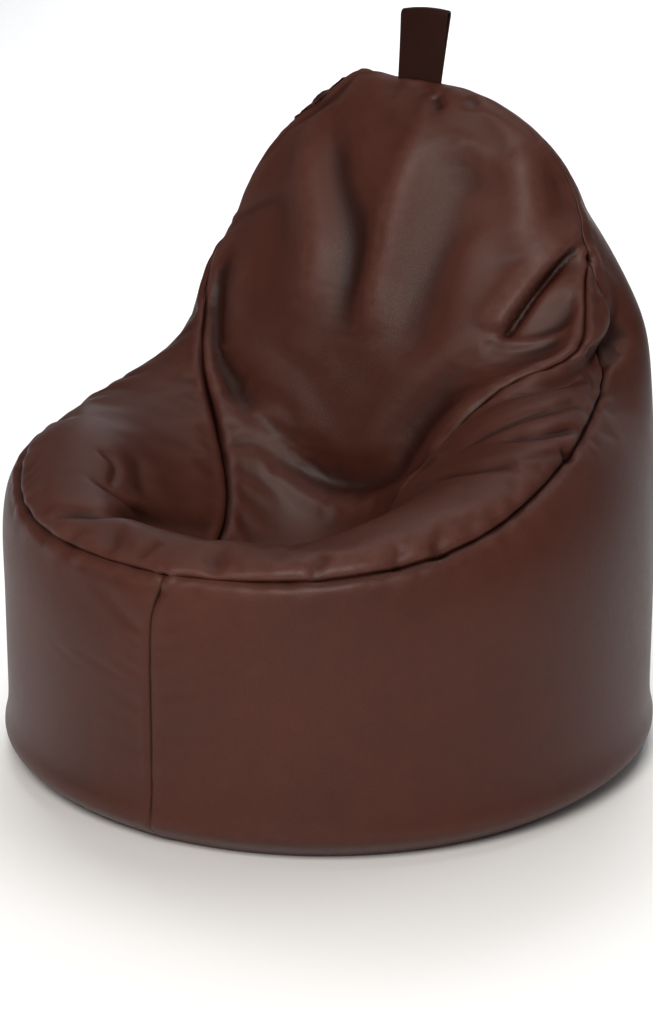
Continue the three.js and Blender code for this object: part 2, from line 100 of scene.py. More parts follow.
towards_camera = Vector((
    math.sin(CAMERA_AZIMUTH) * math.cos(CAMERA_ELEVATION),
    -math.cos(CAMERA_AZIMUTH) * math.cos(CAMERA_ELEVATION),
    math.sin(CAMERA_ELEVATION),
))
camera = bpy.data.objects.new("camera", bpy.data.cameras.new("camera"))
bpy.context.scene.collection.objects.link(camera)
camera.data.sensor_width = SENSOR
camera.data.lens = LENS
camera.data.shift_x, camera.data.shift_y = SHIFT
camera.rotation_mode = "QUATERNION"
camera.rotation_quaternion = towards_camera.to_track_quat("Z", "Y")
camera.location = CAMERA_TARGET + towards_camera * CAMERA_DISTANCE
bpy.context.scene.camera = camera
print("camera at", [round(c, 2) for c in camera.location])

# %% Wide soft lights
def soft_light(name, place, aim, size, watts, tint=(1, 1, 1)):
    """A rectangular panel light that faces a point."""
    data = bpy.data.lights.new(name, "AREA")
    data.shape = "RECTANGLE"
    data.size, data.size_y = size
    data.energy = watts
    data.color = tint
    light = bpy.data.objects.new(name, data)
    bpy.context.scene.collection.objects.link(light)
    light.location = place
    light.rotation_mode = "QUATERNION"
    light.rotation_quaternion = (Vector(place) - Vector(aim)).to_track_quat("Z", "Y")
    return light


WARM = (1.0, 0.94, 0.87)
CHAIR_MIDDLE = (0, 0, 0.4)
soft_light("key_light", (0.9, -2.95, 2.5), CHAIR_MIDDLE, (1.7, 1.3), 120, WARM)
soft_light("fill_light", (2.9, -1.4, 1.9), CHAIR_MIDDLE, (1.2, 1.8), 3)
soft_light("top_light", (0.0, 0.9, 3.4), CHAIR_MIDDLE, (3.0, 1.6), 27)
backdrop_light = soft_light("backdrop_light", (-1.8, 5.6, 4.6), (-2.4, 5.8, 0), (9.0, 4.0), 480)

# %% A pale floor that curves up behind
def plain_material(name, color, roughness):
    """A plain material with one Principled shader, for the studio only."""
    material = bpy.data.materials.new(name)
    material.use_nodes = True
    shader = material.node_tree.nodes["Principled BSDF"]
    shader.inputs["Roughness"].default_value = roughness
    shader.inputs["Base Color"].default_value = (*color, 1)
    return material


FLOOR_COLOR = (0.85, 0.86, 0.87)
FLOOR_ROUGHNESS = 0.6
FLOOR_HALF_SIZE = 6
FLOOR_SHIFT = -1.5
SWEEP_RADIUS = 2.5
WALL_HEIGHT = 4
AIR_STRENGTH = 0.15
SEEN_STRENGTH = 1.0
sweep = bmesh.new()
floor_place = Matrix.Translation((0, FLOOR_SHIFT, 0))
bmesh.ops.create_grid(sweep, x_segments=1, y_segments=1, size=FLOOR_HALF_SIZE, matrix=floor_place)
sweep.edges.ensure_lookup_table()
back_edge = max(sweep.edges, key=lambda e: sum(v.co.y for v in e.verts))
bmesh.ops.spin(
    sweep, geom=[back_edge, *back_edge.verts], cent=(0, FLOOR_HALF_SIZE + FLOOR_SHIFT, SWEEP_RADIUS),
    axis=(1, 0, 0), dvec=(0, 0, 0), angle=math.radians(90), steps=16,
)
top_edge = max(sweep.edges, key=lambda e: sum(v.co.z for v in e.verts))
risen = bmesh.ops.extrude_edge_only(sweep, edges=[top_edge])["geom"]
risen_points = [g for g in risen if isinstance(g, bmesh.types.BMVert)]
bmesh.ops.translate(sweep, verts=risen_points, vec=(0, 0, WALL_HEIGHT))
floor_mesh = bpy.data.meshes.new("floor")
sweep.to_mesh(floor_mesh)
floor = bpy.data.objects.new("floor", floor_mesh)
bpy.context.scene.collection.objects.link(floor)
for polygon in floor_mesh.polygons:
    polygon.use_smooth = True
floor_mesh.materials.append(plain_material("floor_paint", FLOOR_COLOR, FLOOR_ROUGHNESS))
lit_by_backdrop = bpy.data.collections.new("lit_by_backdrop")
lit_by_backdrop.objects.link(floor)
backdrop_light.light_linking.receiver_collection = lit_by_backdrop

world = bpy.data.worlds.new("studio_air")
bpy.context.scene.world = world
world.use_nodes = True
background = world.node_tree.nodes["Background"]
background.inputs["Color"].default_value = (1, 1, 1, 1)
light_path = world.node_tree.nodes.new("ShaderNodeLightPath")
air_level = world.node_tree.nodes.new("ShaderNodeMapRange")
air_level.inputs["To Min"].default_value = AIR_STRENGTH
air_level.inputs["To Max"].default_value = SEEN_STRENGTH
world.node_tree.links.new(light_path.outputs["Is Camera Ray"], air_level.inputs["Value"])
world.node_tree.links.new(air_level.outputs["Result"], background.inputs["Strength"])
bpy.context.scene.view_settings.view_transform = "Standard"
print("floor faces:", len(floor_mesh.polygons))

# %% [markdown]
# ## The cover's skin
#
# All five panels are one skin under one pull of cloth, so they are shaped together and cut apart at
# the end. Each panel of the frame is a thin shell. The faces on its outer side are kept, the five
# sheets are welded along their seams, and the triangles are joined back into quads, because a
# subdivision surface runs smoothly only over quads. Each face remembers its panel as a material number.

# %% Keep the outer side of each panel and weld the sheets into one skin
PANELS = ["base_panel", "wall_left_panel", "wall_right_panel", "seat_panel", "backrest_panel"]
BASE, WALL_LEFT, WALL_RIGHT, SEAT, BACKREST = range(5)
SEAM_WELD = 0.002
FACING_OUT = 0.2
NEIGHBOUR_NEAR = 0.002


def merged_copy(node):
    """The frame's mesh of a node with its loose triangles joined, as a bmesh."""
    bm = bmesh.new()
    bm.from_mesh(bpy.data.objects[node].data)
    bmesh.ops.remove_doubles(bm, verts=bm.verts, dist=1e-5)
    bm.normal_update()
    return bm


def largest_island(bm):
    """The faces of the largest connected piece."""
    left, best = set(bm.faces), []
    while left:
        island, edge_of_search = [], [left.pop()]
        while edge_of_search:
            face = edge_of_search.pop()
            island.append(face)
            near = {other for e in face.edges for other in e.link_faces} & left
            left -= near
            edge_of_search.extend(near)
        best = max(best, island, key=len)
    return best


fill_surface = BVHTree.FromBMesh(merged_copy("bead_fill"))
panel_surfaces = [BVHTree.FromBMesh(merged_copy(node)) for node in PANELS]


def outer_sheet(node):
    """One panel's outer side: the faces that look away from the fill and at no neighbour's edge."""
    bm = merged_copy(node)
    others = []
    for face in bm.faces:
        centre = face.calc_center_median()
        outwards = (centre - fill_surface.find_nearest(centre)[0]).normalized()
        start = centre + face.normal * 1e-5
        sewn_edge = any(s.ray_cast(start, face.normal, NEIGHBOUR_NEAR)[0] for s in panel_surfaces)
        if sewn_edge or face.normal.dot(outwards) < FACING_OUT:
            others.append(face)
    bmesh.ops.delete(bm, geom=others, context="FACES")
    keep = set(largest_island(bm))
    bmesh.ops.delete(bm, geom=[f for f in bm.faces if f not in keep], context="FACES")
    return bm


skin = bmesh.new()
for number, node in enumerate(PANELS):
    sheet = outer_sheet(node)
    for face in sheet.faces:
        face.material_index = number
    sheet_mesh = bpy.data.meshes.new("sheet")
    sheet.to_mesh(sheet_mesh)
    skin.from_mesh(sheet_mesh)
    bpy.data.meshes.remove(sheet_mesh)
bmesh.ops.remove_doubles(skin, verts=skin.verts, dist=SEAM_WELD)
bmesh.ops.join_triangles(
    skin, faces=skin.faces, cmp_materials=True, angle_face_threshold=math.radians(180),
    angle_shape_threshold=math.radians(180), topology_influence=1.5,
)
patches = bmesh.ops.holes_fill(skin, edges=[e for e in skin.edges if e.is_boundary], sides=3)["faces"]
for patch in patches:
    longest = max(patch.edges, key=lambda e: e.calc_length())
    patch.material_index = next(f.material_index for f in longest.link_faces if f != patch)
bmesh.ops.recalc_face_normals(skin, faces=skin.faces)
edge_crease = skin.edges.layers.float.new("crease_edge")
vertex_crease = skin.verts.layers.float.new("crease_vert")
open_edges = [e for e in skin.edges if e.is_boundary]
print("skin:", len(skin.faces), "faces,", sum(len(f.verts) == 3 for f in skin.faces), "of them triangles,",
      len(open_edges), "open edges round the zip")

# %% Mark the seams, so that the subdivision keeps them as lines
def is_seam(edge):
    """True where two different panels meet."""
    panels = {face.material_index for face in edge.link_faces}
    return len(panels) == 2


for edge in skin.edges:
    edge[edge_crease] = 1.0 if is_seam(edge) else 0.0
for vertex in {v for e in open_edges for v in e.verts}:
    vertex[vertex_crease] = 1.0


def subdivided(bm, levels, name):
    """A mesh of the bmesh after a subdivision surface."""
    mesh = bpy.data.meshes.new(name)
    bm.to_mesh(mesh)
    carrier = bpy.data.objects.new(name, mesh)
    bpy.context.scene.collection.objects.link(carrier)
    modifier = carrier.modifiers.new("smooth", "SUBSURF")
    modifier.levels = modifier.render_levels = levels
    done = bpy.data.meshes.new_from_object(carrier.evaluated_get(bpy.context.evaluated_depsgraph_get()))
    bpy.data.objects.remove(carrier)
    bpy.data.meshes.remove(mesh)
    done.name = name
    return done


SKIN_LEVELS = 3
cover_mesh = subdivided(skin, SKIN_LEVELS, "cover_skin")
print("subdivided skin:", len(cover_mesh.vertices), "vertices")

# %% [markdown]
# ## Where the beads have settled
#
# Beads are never spread evenly. One arm stands higher than the other, and the seat leans to one side.
# A sculptor would use a grab brush with a wide falloff here. Each row below is one such grab:
# where, how wide, and how far the cloth moves.

# %% Grab the skin in a few places
def points_of(mesh):
    """All vertices as an array with one row each."""
    points = np.empty(len(mesh.vertices) * 3)
    mesh.vertices.foreach_get("co", points)
    return points.reshape(-1, 3)


def normals_of(mesh):
    """The smooth normal at each vertex."""
    normals = np.empty(len(mesh.vertices) * 3, np.float32)
    mesh.vertex_normals.foreach_get("vector", normals)
    return normals.reshape(-1, 3).astype(float)


def set_points(mesh, points):
    """Moves the vertices and refreshes the mesh."""
    mesh.vertices.foreach_set("co", points.ravel())
    mesh.update()


GRABS = [
    # centre, radius, move
    ((-0.36, 0.02, 0.38), 0.14, (0.0, 0.0, -0.012)),
    ((-0.30, 0.16, 0.46), 0.10, (0.0, 0.0, -0.020)),
    ((0.33, -0.02, 0.42), 0.13, (-0.006, 0.0, 0.022)),
    ((0.14, -0.02, 0.32), 0.09, (-0.024, 0.004, 0.010)),
    ((0.22, 0.06, 0.40), 0.08, (-0.020, -0.006, 0.012)),
    ((0.235, 0.125, 0.52), 0.065, (0.030, 0.010, -0.026)),
    ((0.245, 0.215, 0.70), 0.06, (0.004, 0.026, 0.0)),
    ((0.27, 0.30, 0.71), 0.07, (-0.022, -0.010, -0.004)),
    ((0.34, 0.30, 0.52), 0.07, (0.010, 0.0, 0.006)),
    ((-0.09, 0.225, 0.80), 0.05, (-0.004, 0.0, 0.016)),
    ((-0.26, 0.16, 0.57), 0.09, (-0.012, -0.006, 0.0)),
    ((-0.14, 0.235, 0.775), 0.07, (0.0, 0.030, 0.0)),
    ((0.0, -0.395, 0.33), 0.035, (0.013, 0.0, 0.0)),
    ((-0.31, -0.16, 0.385), 0.07, (0.014, 0.0, 0.004)),
    ((-0.345, -0.185, 0.365), 0.07, (-0.008, -0.005, 0.010)),
]


FOOT_SWELL = 0.013
FOOT_SWELL_HEIGHT = 0.032
FOOT_SWELL_REACH = 0.022
ZIP_ASIDE = 0.04
WALL_RADIUS = 0.355
LIFTED_FROM = 0.08


def grab(points, rows):
    """Moves points by Gaussian falloffs and swells the foot, and leaves the floor side flat."""
    lifted = np.clip(points[:, 2] / LIFTED_FROM, 0, 1)
    moved = points.copy()
    for centre, radius, move in rows:
        away = np.linalg.norm(points - np.array(centre), axis=1)
        moved += (np.exp(-((away / radius) ** 2)) * lifted)[:, None] * np.array(move)
    from_axis = np.linalg.norm(points[:, :2], axis=1)[:, None] + 1e-6
    swell = FOOT_SWELL * np.exp(-(((points[:, 2] - FOOT_SWELL_HEIGHT) / FOOT_SWELL_REACH) ** 2))
    beside_zip = np.clip((np.abs(points[:, 0]) - ZIP_ASIDE / 2) / ZIP_ASIDE, 0, 1)
    swell = np.where(points[:, 1] > 0, swell * beside_zip, swell)
    on_wall = from_axis[:, 0] > WALL_RADIUS
    moved[:, :2] += (swell * on_wall)[:, None] * points[:, :2] / from_axis
    return moved


set_points(cover_mesh, grab(points_of(cover_mesh), GRABS))
print("grabs:", len(GRABS))

# %% [markdown]
# ## Folds
#
# A fold is a stroke over the skin. A sculptor draws it with a crease brush, and here each stroke is a
# route of a few points with a cross-section: how far the cloth rises along the route, how wide it is on
# its soft side, how wide on its steep side, how deep a trough lies beside the steep side, and how far the
# crest is pulled over that trough. A valley is a stroke with a negative rise. The steep side is always on
# the left of the route, seen from outside the chair. A stroke is full in its middle and fades to its ends.

# %% Lay a stroke on the skin
ROUTE_SAMPLES = 40
FULL_FROM = 0.3
END_HEIGHT = 0.12
TROUGH_PLACE = 1.7
PULL_WIDTH = 1.5


@dataclass
class Fold:
    """One stroke, in metres."""
    route: list
    rise: float
    soft: float
    steep: float = 0.0
    trough: float = 0.0
    pull: float = 0.0


def smooth_route(corners, count):
    """Points along a Catmull-Rom curve through the corners."""
    ends = [corners[0], *corners, corners[-1]]
    p = np.array(ends, float)
    spans = len(corners) - 1
    route = []
    for t in np.linspace(0, spans, count):
        i = min(int(t), spans - 1)
        u = t - i
        a, b, c, d = p[i:i + 4]
        route.append(0.5 * (2 * b + (c - a) * u + (2 * a - 5 * b + 4 * c - d) * u**2
                            + (3 * b - a - 3 * c + d) * u**3))
    return np.array(route)


def press(points, normals, polygons, folds):
    """Moves the points by every fold in turn."""
    tree = BVHTree.FromPolygons(points.tolist(), polygons)
    moved = points.copy()
    for fold in folds:
        steep = fold.steep or fold.soft
        reach = 3 * max(fold.soft, steep) + abs(fold.pull)
        route = smooth_route(fold.route, ROUTE_SAMPLES)
        hits = [tree.find_nearest(Vector(p)) for p in route]
        route = np.array([tuple(h[0]) for h in hits])
        outwards = np.array([tuple(h[1]) for h in hits])
        tangents = np.gradient(route, axis=0)
        tangents /= np.linalg.norm(tangents, axis=1)[:, None]
        left = np.cross(outwards, tangents)
        box = (points > route.min(0) - reach).all(1) & (points < route.max(0) + reach).all(1)
        near = np.flatnonzero(box)
        offsets = points[near][:, None, :] - route[None]
        gaps = (offsets**2).sum(2)
        closest = gaps.argmin(1)
        offset = offsets[np.arange(len(near)), closest]
        side = (offset * left[closest]).sum(1)
        length = np.sqrt(gaps.min(1))
        across = np.where(side > 0, length, -length)
        share = closest / (ROUTE_SAMPLES - 1)
        fade = np.clip(np.minimum(share, 1 - share) / FULL_FROM, 0, 1)
        fade = END_HEIGHT + (1 - END_HEIGHT) * fade**2 * (3 - 2 * fade)
        past_end = (closest == 0) | (closest == ROUTE_SAMPLES - 1)
        fade = np.where(past_end, END_HEIGHT, fade)
        width = np.where(across > 0, steep, fold.soft)
        height = fold.rise * np.exp(-((across / width) ** 2))
        height -= fold.trough * np.exp(-(((across - TROUGH_PLACE * steep) / steep) ** 2))
        shift = fold.pull * np.exp(-((across / (PULL_WIDTH * steep)) ** 2))
        facing = (normals[near] * outwards[closest]).sum(1) > 0
        amount = (fade * facing)[:, None]
        moved[near] += amount * (height[:, None] * normals[near] + shift[:, None] * left[closest])
    return moved


# %% The wide folds, pressed before the cloth settles
WIDE_FOLDS = [
    # the back's upright valleys and the swells between them
    Fold([(-0.12, 0.05, 0.38), (-0.165, 0.055, 0.42), (-0.21, 0.08, 0.465), (-0.245, 0.125, 0.52),
          (-0.24, 0.16, 0.60)], -0.018, 0.032, steep=0.013),
    Fold([(-0.10, 0.20, 0.76), (-0.075, 0.165, 0.685), (-0.03, 0.13, 0.60), (-0.025, 0.10, 0.48)],
         -0.011, 0.036),
    Fold([(0.115, 0.20, 0.73), (0.095, 0.165, 0.68), (0.075, 0.13, 0.58), (0.05, 0.09, 0.46)], -0.012, 0.042),
    Fold([(-0.15, 0.22, 0.77), (-0.125, 0.18, 0.70), (-0.09, 0.13, 0.59), (-0.10, 0.10, 0.50)], 0.012, 0.036),
    Fold([(0.035, 0.20, 0.77), (0.02, 0.16, 0.69), (0.0, 0.12, 0.57), (0.01, 0.10, 0.50)], 0.008, 0.022),
    Fold([(0.165, 0.205, 0.74), (0.18, 0.19, 0.675), (0.19, 0.165, 0.60)], 0.010, 0.026),
    # the arc where the back's bulge meets the seat, deepest on the right
    Fold([(0.22, 0.09, 0.49), (0.16, 0.08, 0.47), (0.105, 0.065, 0.415), (0.06, 0.045, 0.345),
          (0.0, 0.045, 0.32), (-0.06, 0.045, 0.335), (-0.105, 0.05, 0.37)], -0.020, 0.034, steep=0.020),
    # the great fold over the right arm
    Fold([(0.275, 0.225, 0.575), (0.285, 0.19, 0.535), (0.275, 0.135, 0.505), (0.235, 0.085, 0.487),
          (0.185, 0.045, 0.445)], 0.014, 0.030, steep=0.013, trough=0.010, pull=0.004),
    # small valleys that fan out over the right arm
    Fold([(0.20, -0.025, 0.405), (0.26, 0.005, 0.445), (0.295, 0.035, 0.46), (0.305, 0.09, 0.46)],
         -0.006, 0.010),
    Fold([(0.255, -0.035, 0.43), (0.30, -0.025, 0.44), (0.33, 0.03, 0.44)], -0.005, 0.010),
    Fold([(0.18, -0.06, 0.375), (0.25, -0.10, 0.41), (0.305, -0.085, 0.425)], -0.006, 0.012),
    # the wall behind the right arm
    Fold([(0.305, 0.245, 0.52), (0.295, 0.195, 0.50), (0.29, 0.145, 0.485)], -0.009, 0.012),
    # the left arm, and the edge where the front roll starts
    Fold([(-0.13, -0.11, 0.285), (-0.138, -0.185, 0.315), (-0.12, -0.28, 0.35), (-0.15, -0.31, 0.355),
          (-0.21, -0.32, 0.347)], -0.009, 0.012, steep=0.016),
    Fold([(-0.20, -0.12, 0.37), (-0.175, -0.15, 0.355), (-0.155, -0.175, 0.335)], -0.005, 0.014),
]

polygons = [tuple(p.vertices) for p in cover_mesh.polygons]
set_points(cover_mesh, press(points_of(cover_mesh), normals_of(cover_mesh), polygons, WIDE_FOLDS))
print("wide folds:", len(WIDE_FOLDS))

# %% [markdown]
# ## Let the cloth settle
#
# Cloth that holds beads is blown out by them and held in along its seams. Blender's cloth solver does
# both: pressure swells the panels, and a vertex group makes the seam lines shorter than the cloth
# beside them, which gathers it into puckers. A weak goal on every point keeps the shape, and the floor
# side and the zip do not move at all. The result is limited, so no point goes further than a cap, and
# it is calmed away from the seams, where the filled leatherette lies smooth.

# %% How far each vertex lies from the seams and from the zip
def seam_vertices(mesh):
    """For each seam, by its pair of panels, the vertices on it."""
    panels_at = [set() for _ in mesh.vertices]
    for polygon in mesh.polygons:
        for index in polygon.vertices:
            panels_at[index].add(polygon.material_index)
    seams = {}
    for index, panels in enumerate(panels_at):
        for pair in {(a, b) for a in panels for b in panels if a < b}:
            seams.setdefault(pair, []).append(index)
    return seams


def distance_to(points, targets):
    """For each point the distance to the nearest target, and that target's number."""
    tree = KDTree(len(targets))
    for number, target in enumerate(targets):
        tree.insert(target, number)
    tree.balance()
    found = [tree.find(p) for p in points]
    return np.array([f[2] for f in found]), np.array([f[1] for f in found])


ZIP_LOW = np.array(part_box("zip_tape_left")[0])
ZIP_HIGH = np.array(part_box("zip_tape_right")[1])
ZIP_QUIET = 0.03
FLOOR_QUIET = 0.05
STILL = 0.004


def freedom(points):
    """1 where the cloth may move, and 0 at the floor and round the zip."""
    away = np.maximum(0, np.maximum(ZIP_LOW - points, points - ZIP_HIGH))
    from_zip = np.clip((np.linalg.norm(away, axis=1) - STILL) / ZIP_QUIET, 0, 1)
    from_floor = np.clip((points[:, 2] - STILL) / FLOOR_QUIET, 0, 1)
    return (from_zip**2 * (3 - 2 * from_zip)) * from_floor


# %% Run the cloth solver on the joined skin
SETTLE_FRAMES = 16
SETTLE_CAP = 0.010
WALL_GATHER = 0.38
SEAM_GATHER_REACH = 0.012
HOLD_EASE = 0.86
SEAM_SHRINK = 0.02
CLOTH_GROWTH = 0.012
BEAD_PRESSURE = 3
CALM_SHARE = 0.35
CALM_REACH = 0.05


def settled(mesh):
    """The vertices after the cloth has settled."""
    carrier = bpy.data.objects.new("settling", mesh)
    bpy.context.scene.collection.objects.link(carrier)
    points = points_of(mesh)
    free = freedom(points)
    seams = seam_vertices(mesh)
    on_seam = np.array(sorted({i for indices in seams.values() for i in indices}))
    from_seam, _ = distance_to(points, points[on_seam])
    walls = (BASE, WALL_LEFT, WALL_RIGHT)
    on_wall = {i for p in mesh.polygons if p.material_index in walls for i in p.vertices}
    hold = carrier.vertex_groups.new(name="hold")
    gather = carrier.vertex_groups.new(name="gather")
    for index in range(len(points)):
        hold.add([index], 1 - HOLD_EASE * free[index], "REPLACE")
        stiff = WALL_GATHER if index in on_wall else 0.0
        gather.add([index], max(stiff, math.exp(-(from_seam[index] / SEAM_GATHER_REACH) ** 2)), "REPLACE")
    cloth = carrier.modifiers.new("settle", "CLOTH")
    settings = cloth.settings
    settings.quality = 5
    settings.mass = 0.35
    settings.tension_stiffness = settings.compression_stiffness = 18
    settings.shear_stiffness = 6
    settings.bending_stiffness = 4
    settings.use_pressure = True
    settings.uniform_pressure_force = BEAD_PRESSURE
    settings.vertex_group_mass = "hold"
    settings.pin_stiffness = 1
    settings.vertex_group_shrink = "gather"
    settings.shrink_min = -CLOTH_GROWTH
    settings.shrink_max = SEAM_SHRINK
    settings.effector_weights.gravity = 0
    cloth.collision_settings.use_collision = False
    cloth.point_cache.frame_start = 1
    cloth.point_cache.frame_end = SETTLE_FRAMES
    for number in range(1, SETTLE_FRAMES + 1):
        bpy.context.scene.frame_set(number)
        evaluated = carrier.evaluated_get(bpy.context.evaluated_depsgraph_get())
    result = np.empty(len(points) * 3)
    evaluated.data.vertices.foreach_get("co", result)
    bpy.data.objects.remove(carrier)
    bpy.context.scene.frame_set(1)
    lively = CALM_SHARE + (1 - CALM_SHARE) * np.exp(-((from_seam / CALM_REACH) ** 2))
    moves = (result.reshape(-1, 3) - points) * (free * lively)[:, None]
    lengths = np.linalg.norm(moves, axis=1)[:, None] + 1e-9
    print("cloth moved at most", round(float(lengths.max()), 4), "m")
    return points + moves * (SETTLE_CAP * np.tanh(lengths / SETTLE_CAP) / lengths)


set_points(cover_mesh, settled(cover_mesh))

# %% [markdown]
# ## Sharp folds and sewn seams
#
# One more level of subdivision gives the skin points every 4 mm. Now the sharp tucks can be pressed,
# and the seams sewn: the cloth dips into each seam, swells beside it, and gathers into short puckers
# that run square to it. The seams on the real chair are plain ones, with no stitches outside.

# %% Subdivide once more, with the seams kept as lines
def crease_seams(mesh):
    """Creases every edge between two panels, and every open edge round the zip."""
    bm = bmesh.new()
    bm.from_mesh(mesh)
    crease = bm.edges.layers.float.get("crease_edge") or bm.edges.layers.float.new("crease_edge")
    for e in bm.edges:
        e[crease] = 1.0 if is_seam(e) or e.is_boundary else 0.0
    return bm


cover_mesh = subdivided(crease_seams(cover_mesh), 1, "cover_fine")
print("fine skin:", len(cover_mesh.vertices), "vertices")

# %% Press the sharp tucks
SHARP_FOLDS = [
    # where the back's right edge overlaps the great fold, and the lip that goes on from its tip
    Fold([(0.24, 0.21, 0.635), (0.205, 0.17, 0.59), (0.18, 0.13, 0.54), (0.172, 0.113, 0.518)],
         0.012, 0.024, steep=0.008, trough=0.014, pull=0.006),
    Fold([(0.175, 0.108, 0.512), (0.205, 0.113, 0.514), (0.235, 0.125, 0.523), (0.26, 0.145, 0.54)],
         0.004, 0.008, steep=0.006),
    # a hook-shaped crease on the left arm, and the short one that meets it
    Fold([(-0.195, -0.235, 0.375), (-0.165, -0.23, 0.36), (-0.142, -0.205, 0.335), (-0.138, -0.16, 0.31)],
         -0.005, 0.008, steep=0.006),
    Fold([(-0.22, -0.175, 0.385), (-0.19, -0.18, 0.37), (-0.165, -0.23, 0.36)], -0.004, 0.006),
    # fine creases over the right arm
    Fold([(0.20, -0.025, 0.405), (0.26, 0.005, 0.445), (0.295, 0.035, 0.46)], -0.003, 0.005),
    Fold([(0.255, -0.035, 0.43), (0.30, -0.025, 0.44), (0.33, 0.03, 0.44)], -0.0025, 0.005),
    Fold([(0.30, -0.08, 0.426), (0.33, -0.045, 0.428), (0.343, -0.01, 0.427)], -0.003, 0.006),
    Fold([(0.305, 0.21, 0.495), (0.295, 0.165, 0.475)], -0.005, 0.008),
    # dimples along the front roll, where the rim seam pulls
    Fold([(-0.03, -0.375, 0.335), (-0.018, -0.345, 0.35)], -0.0035, 0.009),
    Fold([(0.175, -0.345, 0.338), (0.178, -0.31, 0.355)], -0.0045, 0.010),
    Fold([(0.255, -0.295, 0.345), (0.245, -0.265, 0.365)], -0.0040, 0.009),
    Fold([(0.29, -0.25, 0.352), (0.272, -0.24, 0.368)], -0.0035, 0.009),
    Fold([(0.352, -0.03, 0.42), (0.325, -0.02, 0.43)], -0.0050, 0.008),
    # short pleats beside the carry loop
    Fold([(0.036, 0.218, 0.79), (0.052, 0.205, 0.772)], -0.006, 0.010),
    Fold([(0.082, 0.222, 0.795), (0.10, 0.215, 0.78)], -0.003, 0.007),
]

fine_polygons = [tuple(p.vertices) for p in cover_mesh.polygons]
set_points(cover_mesh, press(points_of(cover_mesh), normals_of(cover_mesh), fine_polygons, SHARP_FOLDS))
print("sharp folds:", len(SHARP_FOLDS))

# %% Sew the seams
@dataclass
class Seam:
    """How a seam shapes the cloth beside it, in metres. gather is the height of its puckers."""
    panels: tuple
    dip: float
    swell: float
    gather: float


SEAMS = [
    Seam((BASE, WALL_LEFT), 0.0025, 0.0008, 0.0010),
    Seam((BASE, WALL_RIGHT), 0.0025, 0.0008, 0.0010),
    Seam((WALL_LEFT, WALL_RIGHT), 0.0016, 0.0006, 0.0008),
    Seam((WALL_LEFT, SEAT), 0.0042, 0.0014, 0.0018),
    Seam((WALL_RIGHT, SEAT), 0.0042, 0.0014, 0.0018),
    Seam((WALL_LEFT, BACKREST), 0.0020, 0.0008, 0.0006),
    Seam((WALL_RIGHT, BACKREST), 0.0020, 0.0008, 0.0006),
    Seam((SEAT, BACKREST), 0.0046, 0.0012, 0.0008),
]
DIP_WIDTH = 0.0036
SWELL_PLACE = 0.011
SWELL_WIDTH = 0.006
PUCKER_REACH = 0.022
PUCKER_FREQUENCY = 38
PUCKER_SHIFT = 7.3
SEAM_REACH = 0.06
RELIEF_SMOOTHING = 24


def sewn(mesh):
    """The vertices with every seam dipped, swollen and gathered."""
    points, normals = points_of(mesh), normals_of(mesh)
    free = freedom(points)
    seams = seam_vertices(mesh)
    moved = points.copy()
    for number, seam in enumerate(SEAMS):
        line = points[seams[seam.panels]]
        away, nearest = distance_to(points, line)
        near = np.flatnonzero(away < SEAM_REACH)
        gaps = away[near]
        height = seam.swell * np.exp(-(((gaps - SWELL_PLACE) / SWELL_WIDTH) ** 2))
        height -= seam.dip * np.exp(-((gaps / DIP_WIDTH) ** 2))
        pucker = np.array([
            noise.noise(Vector(line[nearest[i]]) * PUCKER_FREQUENCY + Vector((number * PUCKER_SHIFT, 0, 0)))
            for i in near
        ])
        height += seam.gather * 2 * pucker * np.exp(-((gaps / PUCKER_REACH) ** 2))
        moved[near] += (height * free[near])[:, None] * normals[near]
    return moved


set_points(cover_mesh, sewn(cover_mesh))
print("seams:", len(SEAMS))

# %% Measure how far each point stands above or below the cloth round it
def edge_ends(mesh):
    """The two ends of every edge, as two arrays of vertex numbers."""
    ends = np.empty(len(mesh.edges) * 2, int)
    mesh.edges.foreach_get("vertices", ends)
    return ends.reshape(-1, 2).T


def neighbour_mean(points, ends):
    """For each point the mean of the points that share an edge with it."""
    a, b = ends
    count = np.bincount(np.concatenate([a, b]), minlength=len(points))[:, None]
    total = np.zeros_like(points)
    for axis in range(3):
        total[:, axis] = np.bincount(a, points[b, axis], len(points))
        total[:, axis] += np.bincount(b, points[a, axis], len(points))
    return total / count


def relief_of(mesh, rounds):
    """Height above the smoothed surface, in metres: positive on a crest, negative in a valley."""
    points, normals, ends = points_of(mesh), normals_of(mesh), edge_ends(mesh)
    smooth = points
    for _ in range(rounds):
        smooth = neighbour_mean(smooth, ends)
    return ((points - smooth) * normals).sum(1)


# the relief drives the painted shade in the folds and the paler crests of the leatherette
relief = relief_of(cover_mesh, RELIEF_SMOOTHING)
attribute = cover_mesh.attributes.new("relief", "FLOAT", "POINT")
attribute.data.foreach_set("value", (relief * 1000).astype(np.float32))
print("relief from", round(float(relief.min()) * 1000, 1), "to", round(float(relief.max()) * 1000, 1), "mm")

# %% [markdown]
# ## Leatherette
#
# The cover is a coated fabric. Three effects make it: a pebbled grain that only shows close by, a slow
# drift of tone, and painted shade: a darker colour in the folds and the grain's creases, against a paler
# one on the crests that is partly a painted highlight and partly rubbed wear. Each effect is a node group,
# so that the carry loop can use the same ones.

# %% Shorthand for building shader nodes
def new_group(name, inputs, outputs):
    """An empty shader node group with its sockets, and its input and output nodes."""
    group = bpy.data.node_groups.new(name, "ShaderNodeTree")
    for socket, kind, value in inputs:
        made = group.interface.new_socket(socket, in_out="INPUT", socket_type=kind)
        if value is not None:
            made.default_value = value
    for socket, kind in outputs:
        group.interface.new_socket(socket, in_out="OUTPUT", socket_type=kind)
    return group, group.nodes.new("NodeGroupInput"), group.nodes.new("NodeGroupOutput")


